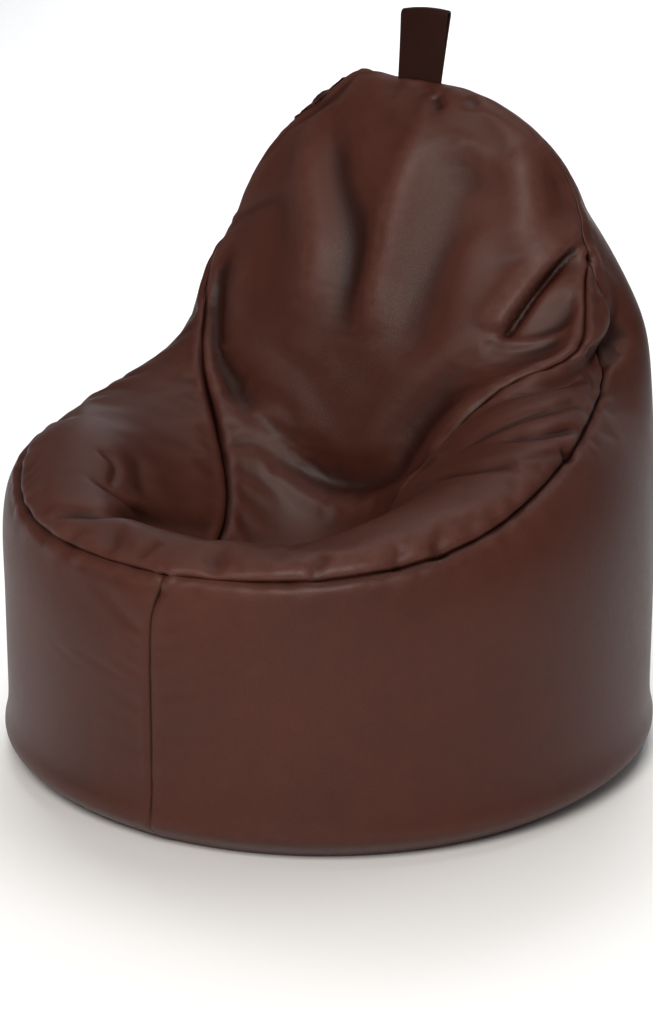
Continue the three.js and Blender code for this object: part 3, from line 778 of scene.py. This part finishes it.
def math_node(tree, operation, a, b=None):
    """A Math node whose inputs are sockets or numbers."""
    node = tree.nodes.new("ShaderNodeMath")
    node.operation = operation
    for socket, value in zip(node.inputs, (a, b)):
        if isinstance(value, bpy.types.NodeSocket):
            tree.links.new(value, socket)
        elif value is not None:
            socket.default_value = value
    return node.outputs[0]


def remap(tree, value, low, high, to_low=0.0, to_high=1.0):
    """A clamped Map Range."""
    node = tree.nodes.new("ShaderNodeMapRange")
    tree.links.new(value, node.inputs["Value"])
    for name, number in (("From Min", low), ("From Max", high), ("To Min", to_low), ("To Max", to_high)):
        node.inputs[name].default_value = number
    return node.outputs["Result"]


def mix_color(tree, factor, a, b):
    """A colour mix whose inputs are sockets or colours."""
    node = tree.nodes.new("ShaderNodeMix")
    node.data_type = "RGBA"
    for socket, value in ((node.inputs[0], factor), (node.inputs[6], a), (node.inputs[7], b)):
        if isinstance(value, bpy.types.NodeSocket):
            tree.links.new(value, socket)
        else:
            socket.default_value = value
    return node.outputs[2]


def noise_node(tree, vector, scale, detail=3.0):
    """A noise texture over a vector."""
    node = tree.nodes.new("ShaderNodeTexNoise")
    node.inputs["Scale"].default_value = scale
    node.inputs["Detail"].default_value = detail
    tree.links.new(vector, node.inputs["Vector"])
    return node.outputs["Fac"]


# %% The grain, the drift of tone and the painted fold shade with crest highlight and wear, each as a node group
def make_grain_group():
    """Pebbles with fine creases between them, and a second, finer leather pore."""
    group, inlet, outlet = new_group(
        "pebble_grain",
        [("Vector", "NodeSocketVector", None), ("Scale", "NodeSocketFloat", 620.0)],
        [("Height", "NodeSocketFloat"), ("Creases", "NodeSocketFloat")],
    )
    warp = group.nodes.new("ShaderNodeTexNoise")
    warp.inputs["Scale"].default_value = 160
    group.links.new(inlet.outputs["Vector"], warp.inputs["Vector"])
    bent = group.nodes.new("ShaderNodeVectorMath")
    bent.operation = "MULTIPLY_ADD"
    group.links.new(warp.outputs["Color"], bent.inputs[0])
    bent.inputs[1].default_value = (0.0015, 0.0015, 0.0015)
    group.links.new(inlet.outputs["Vector"], bent.inputs[2])
    cells = group.nodes.new("ShaderNodeTexVoronoi")
    cells.feature = "DISTANCE_TO_EDGE"
    group.links.new(bent.outputs[0], cells.inputs["Vector"])
    group.links.new(inlet.outputs["Scale"], cells.inputs["Scale"])
    pebble = remap(group, cells.outputs["Distance"], 0.0, 0.22)
    pores = noise_node(group, inlet.outputs["Vector"], 2400, 2)
    pebble_part = math_node(group, "MULTIPLY", pebble, 0.8)
    height = math_node(group, "ADD", pebble_part, math_node(group, "MULTIPLY", pores, 0.2))
    group.links.new(height, outlet.inputs["Height"])
    group.links.new(math_node(group, "SUBTRACT", 1.0, pebble), outlet.inputs["Creases"])
    return group


def make_tone_group():
    """A colour that drifts slowly between a darker and a paler version of itself."""
    group, inlet, outlet = new_group(
        "tone_drift",
        [("Vector", "NodeSocketVector", None), ("Color", "NodeSocketColor", (0.5, 0.5, 0.5, 1)),
         ("Amount", "NodeSocketFloat", 0.2)],
        [("Color", "NodeSocketColor"), ("Mask", "NodeSocketFloat")],
    )
    wide = noise_node(group, inlet.outputs["Vector"], 5)
    fine = noise_node(group, inlet.outputs["Vector"], 45, 4)
    wide_part = math_node(group, "MULTIPLY", wide, 0.7)
    blend = math_node(group, "ADD", wide_part, math_node(group, "MULTIPLY", fine, 0.3))
    mask = remap(group, blend, 0.35, 0.65)
    swing = math_node(group, "MULTIPLY", math_node(group, "SUBTRACT", mask, 0.5), inlet.outputs["Amount"])
    bright = group.nodes.new("ShaderNodeHueSaturation")
    group.links.new(inlet.outputs["Color"], bright.inputs["Color"])
    group.links.new(math_node(group, "ADD", 1.0, swing), bright.inputs["Value"])
    group.links.new(bright.outputs["Color"], outlet.inputs["Color"])
    group.links.new(mask, outlet.inputs["Mask"])
    return group


def make_fold_shade_sheen_wear_group():
    """Darkens a colour in the folds as painted shade, and pales it on the crests partly as a painted
    highlight and partly as rubbed wear, from the relief attribute in mm.
    """
    group, inlet, outlet = new_group(
        "fold_shade_crest_sheen_wear",
        [("Vector", "NodeSocketVector", None), ("Color", "NodeSocketColor", (0.5, 0.5, 0.5, 1)),
         ("Deep Color", "NodeSocketColor", (0.1, 0.1, 0.1, 1)),
         ("Crest Color", "NodeSocketColor", (0.8, 0.8, 0.8, 1))],
        [("Color", "NodeSocketColor"), ("Depth", "NodeSocketFloat"), ("Crest", "NodeSocketFloat")],
    )
    reader = group.nodes.new("ShaderNodeAttribute")
    reader.attribute_name = "relief"
    # painted shade: the deeper the fold, the closer the colour goes to the deep colour
    depth = remap(group, reader.outputs["Fac"], -0.3, -2.6)
    broken = remap(group, noise_node(group, inlet.outputs["Vector"], 70, 5), 0.3, 0.7, 0.35, 1.0)
    # paler crests, broken by noise: partly a painted highlight, partly rubbed wear
    crest = math_node(group, "MULTIPLY", remap(group, reader.outputs["Fac"], 0.5, 3.0), broken)
    deep = mix_color(group, depth, inlet.outputs["Color"], inlet.outputs["Deep Color"])
    crest_sheen_and_wear = mix_color(group, crest, deep, inlet.outputs["Crest Color"])
    group.links.new(crest_sheen_and_wear, outlet.inputs["Color"])
    group.links.new(depth, outlet.inputs["Depth"])
    group.links.new(crest, outlet.inputs["Crest"])
    return group


GRAIN, TONE, FOLD_SHADE_SHEEN_WEAR = make_grain_group(), make_tone_group(), make_fold_shade_sheen_wear_group()
print("node groups:", [g.name for g in (GRAIN, TONE, FOLD_SHADE_SHEEN_WEAR)])

# %% Leatherette from the three groups
def start_material(name, roughness, metallic=0.0, specular=0.5):
    """A material with its shader and Object coordinates."""
    material = bpy.data.materials.new(name)
    material.use_nodes = True
    tree = material.node_tree
    shader = tree.nodes["Principled BSDF"]
    shader.inputs["Roughness"].default_value = roughness
    shader.inputs["Metallic"].default_value = metallic
    shader.inputs["Specular IOR Level"].default_value = specular
    place = tree.nodes.new("ShaderNodeTexCoord").outputs["Object"]
    return material, tree, shader, place


def add_group(tree, group, **values):
    """A group node with its inputs linked or set; an underscore in a name stands for a space."""
    node = tree.nodes.new("ShaderNodeGroup")
    node.node_tree = group
    for name, value in values.items():
        socket = node.inputs[name.replace("_", " ")]
        if isinstance(value, bpy.types.NodeSocket):
            tree.links.new(value, socket)
        else:
            socket.default_value = value
    return node


def add_bump(tree, shader, height, distance, strength=1.0):
    """A Bump node from a height to the shader's normal."""
    bump = tree.nodes.new("ShaderNodeBump")
    bump.inputs["Strength"].default_value = strength
    bump.inputs["Distance"].default_value = distance
    tree.links.new(height, bump.inputs["Height"])
    tree.links.new(bump.outputs["Normal"], shader.inputs["Normal"])


LEATHER_COLOR = (0.060, 0.0170, 0.0110, 1)
# painted shade, for the folds and the grain's creases
LEATHER_PAINTED_SHADE = (0.022, 0.0055, 0.0035, 1)
# paler crest colour: partly a painted highlight, partly rubbed wear
LEATHER_CREST_SHEEN_AND_WEAR = (0.090, 0.034, 0.026, 1)


def leatherette(name, color, deep, crest, specular=0.21):
    """Coated fabric with pebbled grain, drifting tone, painted shade in the folds and grain creases, and
    crests paled partly as a painted highlight and partly as wear.
    """
    material, tree, shader, place = start_material(name, 0.4, specular=specular)
    tone = add_group(tree, TONE, Vector=place, Color=color, Amount=0.28)
    folds_shaded_and_worn = add_group(
        tree, FOLD_SHADE_SHEEN_WEAR, Vector=place, Color=tone.outputs["Color"], Deep_Color=deep, Crest_Color=crest,
    )
    grain = add_group(tree, GRAIN, Vector=place, Scale=620.0)
    # painted shade: the grain's creases are darkened towards the deep colour
    in_creases = math_node(tree, "MULTIPLY", grain.outputs["Creases"], 0.25)
    shade = mix_color(tree, in_creases, folds_shaded_and_worn.outputs["Color"], deep)
    tree.links.new(shade, shader.inputs["Base Color"])
    gloss = math_node(tree, "ADD", remap(tree, tone.outputs["Mask"], 0, 1, 0.36, 0.44),
                      math_node(tree, "MULTIPLY", grain.outputs["Creases"], 0.08))
    tree.links.new(gloss, shader.inputs["Roughness"])
    add_bump(tree, shader, grain.outputs["Height"], 0.0002, 0.5)
    return material


leather = leatherette("leatherette_brown", LEATHER_COLOR, LEATHER_PAINTED_SHADE, LEATHER_CREST_SHEEN_AND_WEAR)
print("materials:", leather.name)

# %% Cut the skin into its five panels
COVER_THICKNESS = 0.0025


def cut_panel(mesh, number, name):
    """One panel of the skin as an object of its own."""
    bm = bmesh.new()
    bm.from_mesh(mesh)
    bmesh.ops.delete(bm, geom=[f for f in bm.faces if f.material_index != number], context="FACES")
    for face in bm.faces:
        face.material_index = 0
        face.smooth = True
    panel_mesh = bpy.data.meshes.new(name)
    bm.to_mesh(panel_mesh)
    panel = bpy.data.objects.new(name, panel_mesh)
    bpy.context.scene.collection.objects.link(panel)
    return panel


for number, node in enumerate(PANELS):
    panel = cut_panel(cover_mesh, number, node.replace("_panel", "_cover"))
    panel.data.materials.append(leather)
    wall = panel.modifiers.new("thickness", "SOLIDIFY")
    wall.thickness = COVER_THICKNESS
    wall.offset = -1
    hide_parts(node)
    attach(panel, "cover")
    print(panel.name, len(panel.data.polygons), "faces")

# %% [markdown]
# ## The liner bag and the beads
#
# The bag inside is thin cloth, cut like the cover and a little smaller. A coarser copy of the skin is
# laid inside the finished cover: every point sinks to a depth below it, and a few rounds of smoothing
# make the cloth bridge the folds instead of repeating them. Then two checks take turns. One moves each
# point away from the nearest spot of the cover until it lies deep enough, and the other asks for more
# depth wherever the cover still dips below a face. Pushing along one fixed direction would be simpler,
# but where the head is thin it would push the bag out through the other side.
# The same steps at a greater depth, with the zip's slot closed, give the body of beads.

# %% Lay a coarse copy of the skin inside the cover
LINER_DEPTH = 0.0095
LINER_THICKNESS = 0.0008
FILL_DEPTH = 0.017
LINING_LEVELS = 2
LINING_ROUNDS = 3
LINING_EASE = 0.25
NEAREST_SHARE = 0.8
OUTSIDE = 0.05
LINER_LEAST = 0.0045
FILL_LEAST = 0.009
RETREAT_ROUNDS = 12
RETREAT_STEP = 0.005
RETREAT_SLACK = 0.0003
DIP_ROUNDS = 3
DIP_REACH = 0.012
DIP_FACING = 0.3
DEEPEST = 0.030
DEEP_RELIEF = 0.0015
DEEP_REACH = 0.022
DEEP_FACTOR = 1.6
CREASE_SPARE = 0.020
CREASE_REACH = 0.035

fine_points = points_of(cover_mesh)
fine_normals = normals_of(cover_mesh)
cover_tree = BVHTree.FromPolygons(fine_points.tolist(), [tuple(p.vertices) for p in cover_mesh.polygons])
deep_spots = np.flatnonzero(relief < -DEEP_RELIEF)
deep_tree = KDTree(len(deep_spots))
for number, index in enumerate(deep_spots):
    deep_tree.insert(fine_points[index], number)
deep_tree.balance()
crease_points = fine_points[sorted({
    index for pair, indices in seam_vertices(cover_mesh).items() if BACKREST in pair for index in indices
})]


def depth_of_folds(point):
    """How deep the folds near a point are."""
    near = deep_tree.find_range(point, DEEP_REACH)
    return max((-relief[deep_spots[number]] for _, number, _ in near), default=0.0)


def first_outside(start, way):
    """The first spot of the cover that is seen from outside along a way."""
    spot, facing, _, _ = cover_tree.ray_cast(start, way, 2 * OUTSIDE)
    while spot and facing.dot(way) > 0:
        spot, facing, _, _ = cover_tree.ray_cast(spot + way * 1e-4, way, 2 * OUTSIDE)
    return spot


def sink(points, normals, below, moving, only_deeper=False):
    """Moves each point along its normal until it lies far enough below the cover."""
    sunk = points.copy()
    for index, (point, normal) in enumerate(zip(points, normals)):
        if moving[index] == 0:
            sunk[index] = point if only_deeper else point - normal * below[index]
            continue
        start = Vector(point + normal * OUTSIDE)
        spot = first_outside(start, Vector(-normal)) or Vector(point)
        deep = (spot - start).length + below[index][0]
        if only_deeper:
            deep = max(deep, OUTSIDE)
        sunk[index] = point + normal * (OUTSIDE - deep)
    return sunk


def retreated(points, wanted, moving):
    """Moves each point away from the nearest spot of the cover until it lies deep enough."""
    active = np.flatnonzero(moving[:, 0] > 0)
    for _ in range(RETREAT_ROUNDS):
        shallow = []
        for index in active:
            point = Vector(points[index])
            spot, facing, _, away = cover_tree.find_nearest(point)
            offset = point - spot
            depth = away if offset.dot(facing) < 0 else -away
            if depth >= wanted[index] - RETREAT_SLACK:
                continue
            inwards = offset.normalized() if depth > 0 else -facing
            step = min(wanted[index] - depth, RETREAT_STEP)
            points[index] += np.array(inwards) * step * moving[index]
            shallow.append(index)
        active = shallow
    return len(active)


def dips_below(points, faces, least):
    """For each point, how much deeper it should lie, because the cover dips below a face beside it."""
    tree = BVHTree.FromPolygons(points.tolist(), faces)
    deeper = np.zeros(len(points))
    for place, normal in zip(fine_points, fine_normals):
        spot, facing, index, _ = tree.find_nearest(place, DIP_REACH)
        if spot is None or facing.dot(normal) < DIP_FACING:
            continue
        over = (spot - Vector(place)).dot(normal) + least
        if over > 0:
            corners = list(faces[index])
            deeper[corners] = np.maximum(deeper[corners], over)
    return deeper


def lining(cage, depth, least, name):
    """A mesh that lies at a depth inside the cover."""
    mesh = subdivided(cage, LINING_LEVELS, name)
    set_points(mesh, grab(points_of(mesh), GRABS))
    points, normals = points_of(mesh), normals_of(mesh)
    moving = freedom(points)[:, None]
    ends = edge_ends(mesh)
    from_crease, _ = distance_to(points, crease_points)
    spare = np.maximum(
        DEEP_FACTOR * np.array([depth_of_folds(p) for p in points]),
        CREASE_SPARE * np.exp(-((from_crease / CREASE_REACH) ** 2)),
    )[:, None] * moving
    below = depth + spare
    points = sink(points, normals, below, moving)
    for _ in range(LINING_ROUNDS):
        points += LINING_EASE * moving * (neighbour_mean(points, ends) - points)
    points = sink(points, normals, NEAREST_SHARE * below, moving, only_deeper=True)
    faces = [tuple(p.vertices) for p in mesh.polygons]
    wanted = np.full(len(points), NEAREST_SHARE * depth)
    for number in range(DIP_ROUNDS):
        left = retreated(points, wanted, moving)
        deeper = dips_below(points, faces, least)
        dipped = int((deeper * moving[:, 0] > 0).sum())
        print(name, "round", number, "still shallow:", left, "under a dip:", dipped)
        wanted = np.minimum(wanted + deeper, DEEPEST)
    retreated(points, wanted, moving)
    set_points(mesh, points)
    return mesh


LINER_PANELS = ["liner_base", "liner_wall_left", "liner_wall_right", "liner_seat", "liner_backrest"]
liner_mesh = lining(skin, LINER_DEPTH, LINER_LEAST, "liner_skin")
fill_cage = skin.copy()
bmesh.ops.holes_fill(fill_cage, edges=[e for e in fill_cage.edges if e.is_boundary], sides=0)
fill_mesh = lining(fill_cage, FILL_DEPTH, FILL_LEAST, "bead_body")
print("liner:", len(liner_mesh.polygons), "faces, beads:", len(fill_mesh.polygons), "faces")

# %% Cloth for the liner, tape for the zips, and beads, each from a pattern of its own
def make_weave_group():
    """A plain weave: two sets of threads that pass over and under each other, in the wall's own plane."""
    group, inlet, outlet = new_group(
        "plain_weave",
        [("Vector", "NodeSocketVector", None), ("Threads", "NodeSocketFloat", 1000.0)],
        [("Height", "NodeSocketFloat"), ("Gaps", "NodeSocketFloat")],
    )
    apart = group.nodes.new("ShaderNodeSeparateXYZ")
    group.links.new(inlet.outputs["Vector"], apart.inputs[0])
    across = math_node(group, "MULTIPLY", apart.outputs["Y"], 0.83)
    across = math_node(group, "ADD", apart.outputs["X"], across)
    up = math_node(group, "MULTIPLY", apart.outputs["Y"], 0.55)
    up = math_node(group, "ADD", apart.outputs["Z"], up)
    threads = math_node(group, "MULTIPLY", inlet.outputs["Threads"], math.pi)
    warp = math_node(group, "SINE", math_node(group, "MULTIPLY", across, threads))
    weft = math_node(group, "SINE", math_node(group, "MULTIPLY", up, threads))
    over = math_node(group, "MULTIPLY", warp, weft)
    height = remap(group, over, -1, 1)
    gaps = remap(group, math_node(group, "ABSOLUTE", over), 0.25, 0.0)
    group.links.new(height, outlet.inputs["Height"])
    group.links.new(gaps, outlet.inputs["Gaps"])
    return group


WEAVE = make_weave_group()


def woven(name, color, gap_shade_color, threads, roughness):
    """Cloth with visible threads and painted shade between them."""
    material, tree, shader, place = start_material(name, roughness, specular=0.3)
    tone = add_group(tree, TONE, Vector=place, Color=color, Amount=0.15)
    weave = add_group(tree, WEAVE, Vector=place, Threads=threads)
    # painted shade: the gaps between the threads are darkened towards the gap colour
    in_gaps = math_node(tree, "MULTIPLY", weave.outputs["Gaps"], 0.6)
    shade = mix_color(tree, in_gaps, tone.outputs["Color"], gap_shade_color)
    tree.links.new(shade, shader.inputs["Base Color"])
    tree.links.new(remap(tree, tone.outputs["Mask"], 0, 1, roughness - 0.06, roughness + 0.05),
                   shader.inputs["Roughness"])
    add_bump(tree, shader, weave.outputs["Height"], 0.0002)
    return material


def bead_heap():
    """Loose white beads a few millimetres wide, with painted shade between them."""
    material, tree, shader, place = start_material("white_beads", 0.6)
    cells = tree.nodes.new("ShaderNodeTexVoronoi")
    cells.inputs["Scale"].default_value = 240
    tree.links.new(place, cells.inputs["Vector"])
    bead = remap(tree, cells.outputs["Distance"], 0.75, 0.0)
    tone = add_group(tree, TONE, Vector=place, Color=(0.90, 0.90, 0.885, 1), Amount=0.08)
    # painted shade: grey towards the edge of each cell, between the beads
    shade = mix_color(tree, bead, (0.62, 0.62, 0.60, 1), tone.outputs["Color"])
    tree.links.new(shade, shader.inputs["Base Color"])
    tree.links.new(remap(tree, bead, 0, 1, 0.75, 0.5), shader.inputs["Roughness"])
    add_bump(tree, shader, bead, 0.002)
    return material


# the second colour of each cloth is its painted shade between the threads
liner_cloth = woven("liner_cloth", (0.76, 0.745, 0.70, 1), (0.5, 0.48, 0.44, 1), 900.0, 0.88)
tape_cloth = woven("zip_tape_cloth", (0.026, 0.012, 0.010, 1), (0.010, 0.005, 0.004, 1), 700.0, 0.82)
beads = bead_heap()
print("cloth:", liner_cloth.name, tape_cloth.name, beads.name)

# %% Cut the liner into its panels and place the beads
for number, node in enumerate(LINER_PANELS):
    panel = cut_panel(liner_mesh, number, node + "_cloth")
    panel.data.materials.append(liner_cloth)
    wall = panel.modifiers.new("thickness", "SOLIDIFY")
    wall.thickness = LINER_THICKNESS
    wall.offset = -1
    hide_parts(node)
    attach(panel, "cover")

bead_body = bpy.data.objects.new("bead_body", fill_mesh)
bpy.context.scene.collection.objects.link(bead_body)
fill_mesh.polygons.foreach_set("material_index", [0] * len(fill_mesh.polygons))
fill_mesh.polygons.foreach_set("use_smooth", [True] * len(fill_mesh.polygons))
fill_mesh.materials.append(beads)
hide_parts("bead_fill")
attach(bead_body, "cover")
print("liner panels:", len(LINER_PANELS))

# %% [markdown]
# ## The carry loop
#
# The loop is a folded strip, sewn shut along its two long edges and caught in the top seam. It starts as
# a flat grid. One axis of the grid is wrapped over a teardrop, up the front, round the top and down
# the back, and the other stays across. The strip leans and widens a little towards the top.

# %% Wrap a flat grid into the loop
LOOP_LOW, LOOP_HIGH = (Vector(c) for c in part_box("handle_loop"))
LOOP_ROOT_Y = (LOOP_LOW.y + LOOP_HIGH.y) / 2
LOOP_ROOT_Z = LOOP_LOW.z - 0.015
LOOP_TOP_Z = LOOP_HIGH.z - 0.001
LOOP_HALF_WIDTH = (LOOP_HIGH.x - LOOP_LOW.x) / 2 - 0.001
LOOP_PLY = 0.0024
LOOP_SHIFT = 0.006
LOOP_LEAN = 0.009
LOOP_FLARE = 0.07
LOOP_RADIUS = 0.0062
LOOP_ROOT_HALF_GAP = 0.0014
LOOP_OPENING_POWER = 1.6
LOOP_BOW = 0.0035
LOOP_DROOP = 0.003
LOOP_RIM = 0.0008


def loop_point(share, across):
    """A point on the strip: share runs 0 to 1 from the front root over the top to the back root."""
    straight = LOOP_TOP_Z - LOOP_RADIUS - LOOP_ROOT_Z
    length = straight + LOOP_RADIUS * math.pi / 2
    run = (1 - abs(2 * share - 1)) * length
    side = -1 if share < 0.5 else 1
    if run < straight:
        z = LOOP_ROOT_Z + run
        rise = run / straight
        y = side * (LOOP_ROOT_HALF_GAP + (LOOP_RADIUS - LOOP_ROOT_HALF_GAP) * rise**LOOP_OPENING_POWER)
    else:
        angle = (run - straight) / LOOP_RADIUS
        z = LOOP_ROOT_Z + straight + LOOP_RADIUS * math.sin(angle)
        y = side * LOOP_RADIUS * math.cos(angle)
    height = (z - LOOP_ROOT_Z) / (LOOP_TOP_Z - LOOP_ROOT_Z)
    x = across * LOOP_HALF_WIDTH * (1 - LOOP_FLARE + LOOP_FLARE * height) + LOOP_SHIFT + LOOP_LEAN * height
    bow = LOOP_BOW * math.sin(math.pi * height) * (1 - across**2)
    return Vector((x, LOOP_ROOT_Y + y - bow, z - LOOP_DROOP * across**2 * height))


def loop_piece(bm, name, material):
    """An object of the strip, smooth all over."""
    bmesh.ops.recalc_face_normals(bm, faces=bm.faces)
    mesh = bpy.data.meshes.new(name)
    bm.to_mesh(mesh)
    mesh.materials.append(material)
    mesh.polygons.foreach_set("use_smooth", [True] * len(mesh.polygons))
    piece = bpy.data.objects.new(name, mesh)
    bpy.context.scene.collection.objects.link(piece)
    return piece


strip = bmesh.new()
bmesh.ops.create_grid(strip, x_segments=24, y_segments=72, size=0.5)
for v in strip.verts:
    v.co = loop_point(v.co.y + 0.5, 2 * v.co.x)
bmesh.ops.recalc_face_normals(strip, faces=strip.faces)
strip.faces.ensure_lookup_table()
front = min(strip.faces, key=lambda f: f.calc_center_median().y)
if front.normal.y > 0:
    bmesh.ops.reverse_faces(strip, faces=strip.faces)
bmesh.ops.solidify(strip, geom=strip.faces, thickness=LOOP_PLY)
bmesh.ops.recalc_face_normals(strip, faces=strip.faces)
rim_edges = [e for e in strip.edges if e.calc_face_angle(0) > math.radians(50)]
bmesh.ops.bevel(strip, geom=rim_edges, offset=LOOP_RIM, segments=2, profile=0.5, affect="EDGES",
                material=-1)
# the loop has no relief attribute, so its deep colour is painted shade in the grain's creases only
leather_dark = leatherette(
    "leatherette_loop", (0.021, 0.006, 0.004, 1), (0.010, 0.003, 0.002, 1), (0.04, 0.015, 0.011, 1),
    specular=0.08,
)
carry_loop = loop_piece(strip, "carry_loop_strap", leather_dark)
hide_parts("handle_loop")
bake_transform(carry_loop)
print("carry loop:", len(carry_loop.data.polygons), "faces")

# %% [markdown]
# ## The zips
#
# The cover's zip runs down the back seam, and the liner has one of its own right behind it. The tapes
# keep their frame meshes and get a woven material. The rows of teeth are one small bevelled block,
# repeated by a loop, and the two rows are half a pitch apart. Sliders, stops and the puller are copies
# of the frame's pieces with their edges rounded, as on a metal casting.

# %% Rows of teeth
TOOTH_PITCH = 0.0026
TOOTH_TIP = 0.00055
TOOTH_SIZE = (0.0016, 0.0019)
TOOTH_EDGE = 0.00035
CORE_SIZE = (0.0009, 0.0012)
CLIP_EDGE = 0.0005
SLIDER_EDGE = 0.00025
PULLER_EDGE = 0.0004


def metal(name, color, roughness):
    """Plated metal with fine brushing along Z and a little tarnish."""
    material, tree, shader, place = start_material(name, roughness, metallic=1.0)
    tone = add_group(tree, TONE, Vector=place, Color=color, Amount=0.18)
    tree.links.new(tone.outputs["Color"], shader.inputs["Base Color"])
    stretch = tree.nodes.new("ShaderNodeMapping")
    stretch.inputs["Scale"].default_value = (3000, 3000, 160)
    tree.links.new(place, stretch.inputs["Vector"])
    brushed = noise_node(tree, stretch.outputs["Vector"], 1.0, 2)
    gloss = remap(tree, brushed, 0.3, 0.7, roughness - 0.08, roughness + 0.12)
    tree.links.new(gloss, shader.inputs["Roughness"])
    add_bump(tree, shader, brushed, 0.00003, 0.4)
    return material


def nylon(name, color):
    """Moulded nylon with a faint haze."""
    material, tree, shader, place = start_material(name, 0.38)
    tone = add_group(tree, TONE, Vector=place, Color=color, Amount=0.2)
    tree.links.new(tone.outputs["Color"], shader.inputs["Base Color"])
    tree.links.new(remap(tree, tone.outputs["Mask"], 0, 1, 0.32, 0.46), shader.inputs["Roughness"])
    add_bump(tree, shader, noise_node(tree, place, 1800, 2), 0.00005, 0.4)
    return material


plated = metal("plated_metal", (0.30, 0.285, 0.27, 1), 0.3)
coil = nylon("coil_nylon", (0.034, 0.017, 0.013, 1))


def teeth_row(node, side):
    """A row of small rounded teeth in the place of a node."""
    low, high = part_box(node)
    outer = high[0] if side > 0 else -low[0]
    middle_y = (low[1] + high[1]) / 2
    count = int((high[2] - low[2] - TOOTH_PITCH) / TOOTH_PITCH)
    offset = TOOTH_PITCH / 2 if side > 0 else 0
    bm = bmesh.new()
    for number in range(count):
        z = low[2] + TOOTH_PITCH * (number + 0.5) + offset
        centre = Vector((side * (TOOTH_TIP + outer) / 2, middle_y, z))
        size = Matrix.Diagonal((outer - TOOTH_TIP, TOOTH_SIZE[1], TOOTH_SIZE[0], 1))
        bmesh.ops.create_cube(bm, size=1, matrix=Matrix.Translation(centre) @ size)
    bmesh.ops.bevel(bm, geom=bm.edges, offset=TOOTH_EDGE, segments=1, profile=0.5, affect="EDGES",
                    material=-1)
    core = Vector((side * (outer - 0.0005), middle_y, (low[2] + high[2]) / 2))
    shape = Matrix.Diagonal((*CORE_SIZE, high[2] - low[2] - 0.0004, 1))
    bmesh.ops.create_cube(bm, size=1, matrix=Matrix.Translation(core) @ shape)
    return bm


def eased_copy(node, width):
    """A copy of a node with its flat faces whole and its sharp edges rounded."""
    bm = merged_copy(node)
    bmesh.ops.dissolve_limit(bm, angle_limit=math.radians(2), verts=bm.verts, edges=bm.edges)
    sharp = [e for e in bm.edges if e.calc_face_angle(0) > math.radians(30)]
    bmesh.ops.bevel(bm, geom=sharp, offset=width, segments=2, profile=0.5, affect="EDGES", material=-1,
                    clamp_overlap=True)
    return bm


def zip_piece(bm, name, node, body, material):
    mesh = bpy.data.meshes.new(name)
    bm.to_mesh(mesh)
    mesh.materials.append(material)
    piece = bpy.data.objects.new(name, mesh)
    bpy.context.scene.collection.objects.link(piece)
    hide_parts(node)
    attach(piece, body)
    return piece


for prefix in ("zip_", "liner_zip_"):
    for side_name, side in (("left", -1), ("right", 1)):
        node = f"{prefix}teeth_{side_name}"
        zip_piece(teeth_row(node, side), f"{prefix}tooth_row_{side_name}", node, "cover", coil)
        stop = f"{prefix}top_stop_{side_name}"
        zip_piece(eased_copy(stop, CLIP_EDGE), f"{stop}_clip", stop, "cover", plated)
        tape = bpy.data.objects[f"{prefix}tape_{side_name}"]
        tape.data.materials.clear()
        tape.data.materials.append(tape_cloth)
    stop = f"{prefix}bottom_stop"
    zip_piece(eased_copy(stop, CLIP_EDGE), f"{stop}_clip", stop, "cover", plated)
    slider = f"{prefix}slider"
    zip_piece(eased_copy(slider, SLIDER_EDGE), f"{slider}_body", slider, slider, plated)
puller = eased_copy("zip_puller", PULLER_EDGE)
zip_piece(puller, "zip_puller_tab", "zip_puller", "zip_puller", plated)
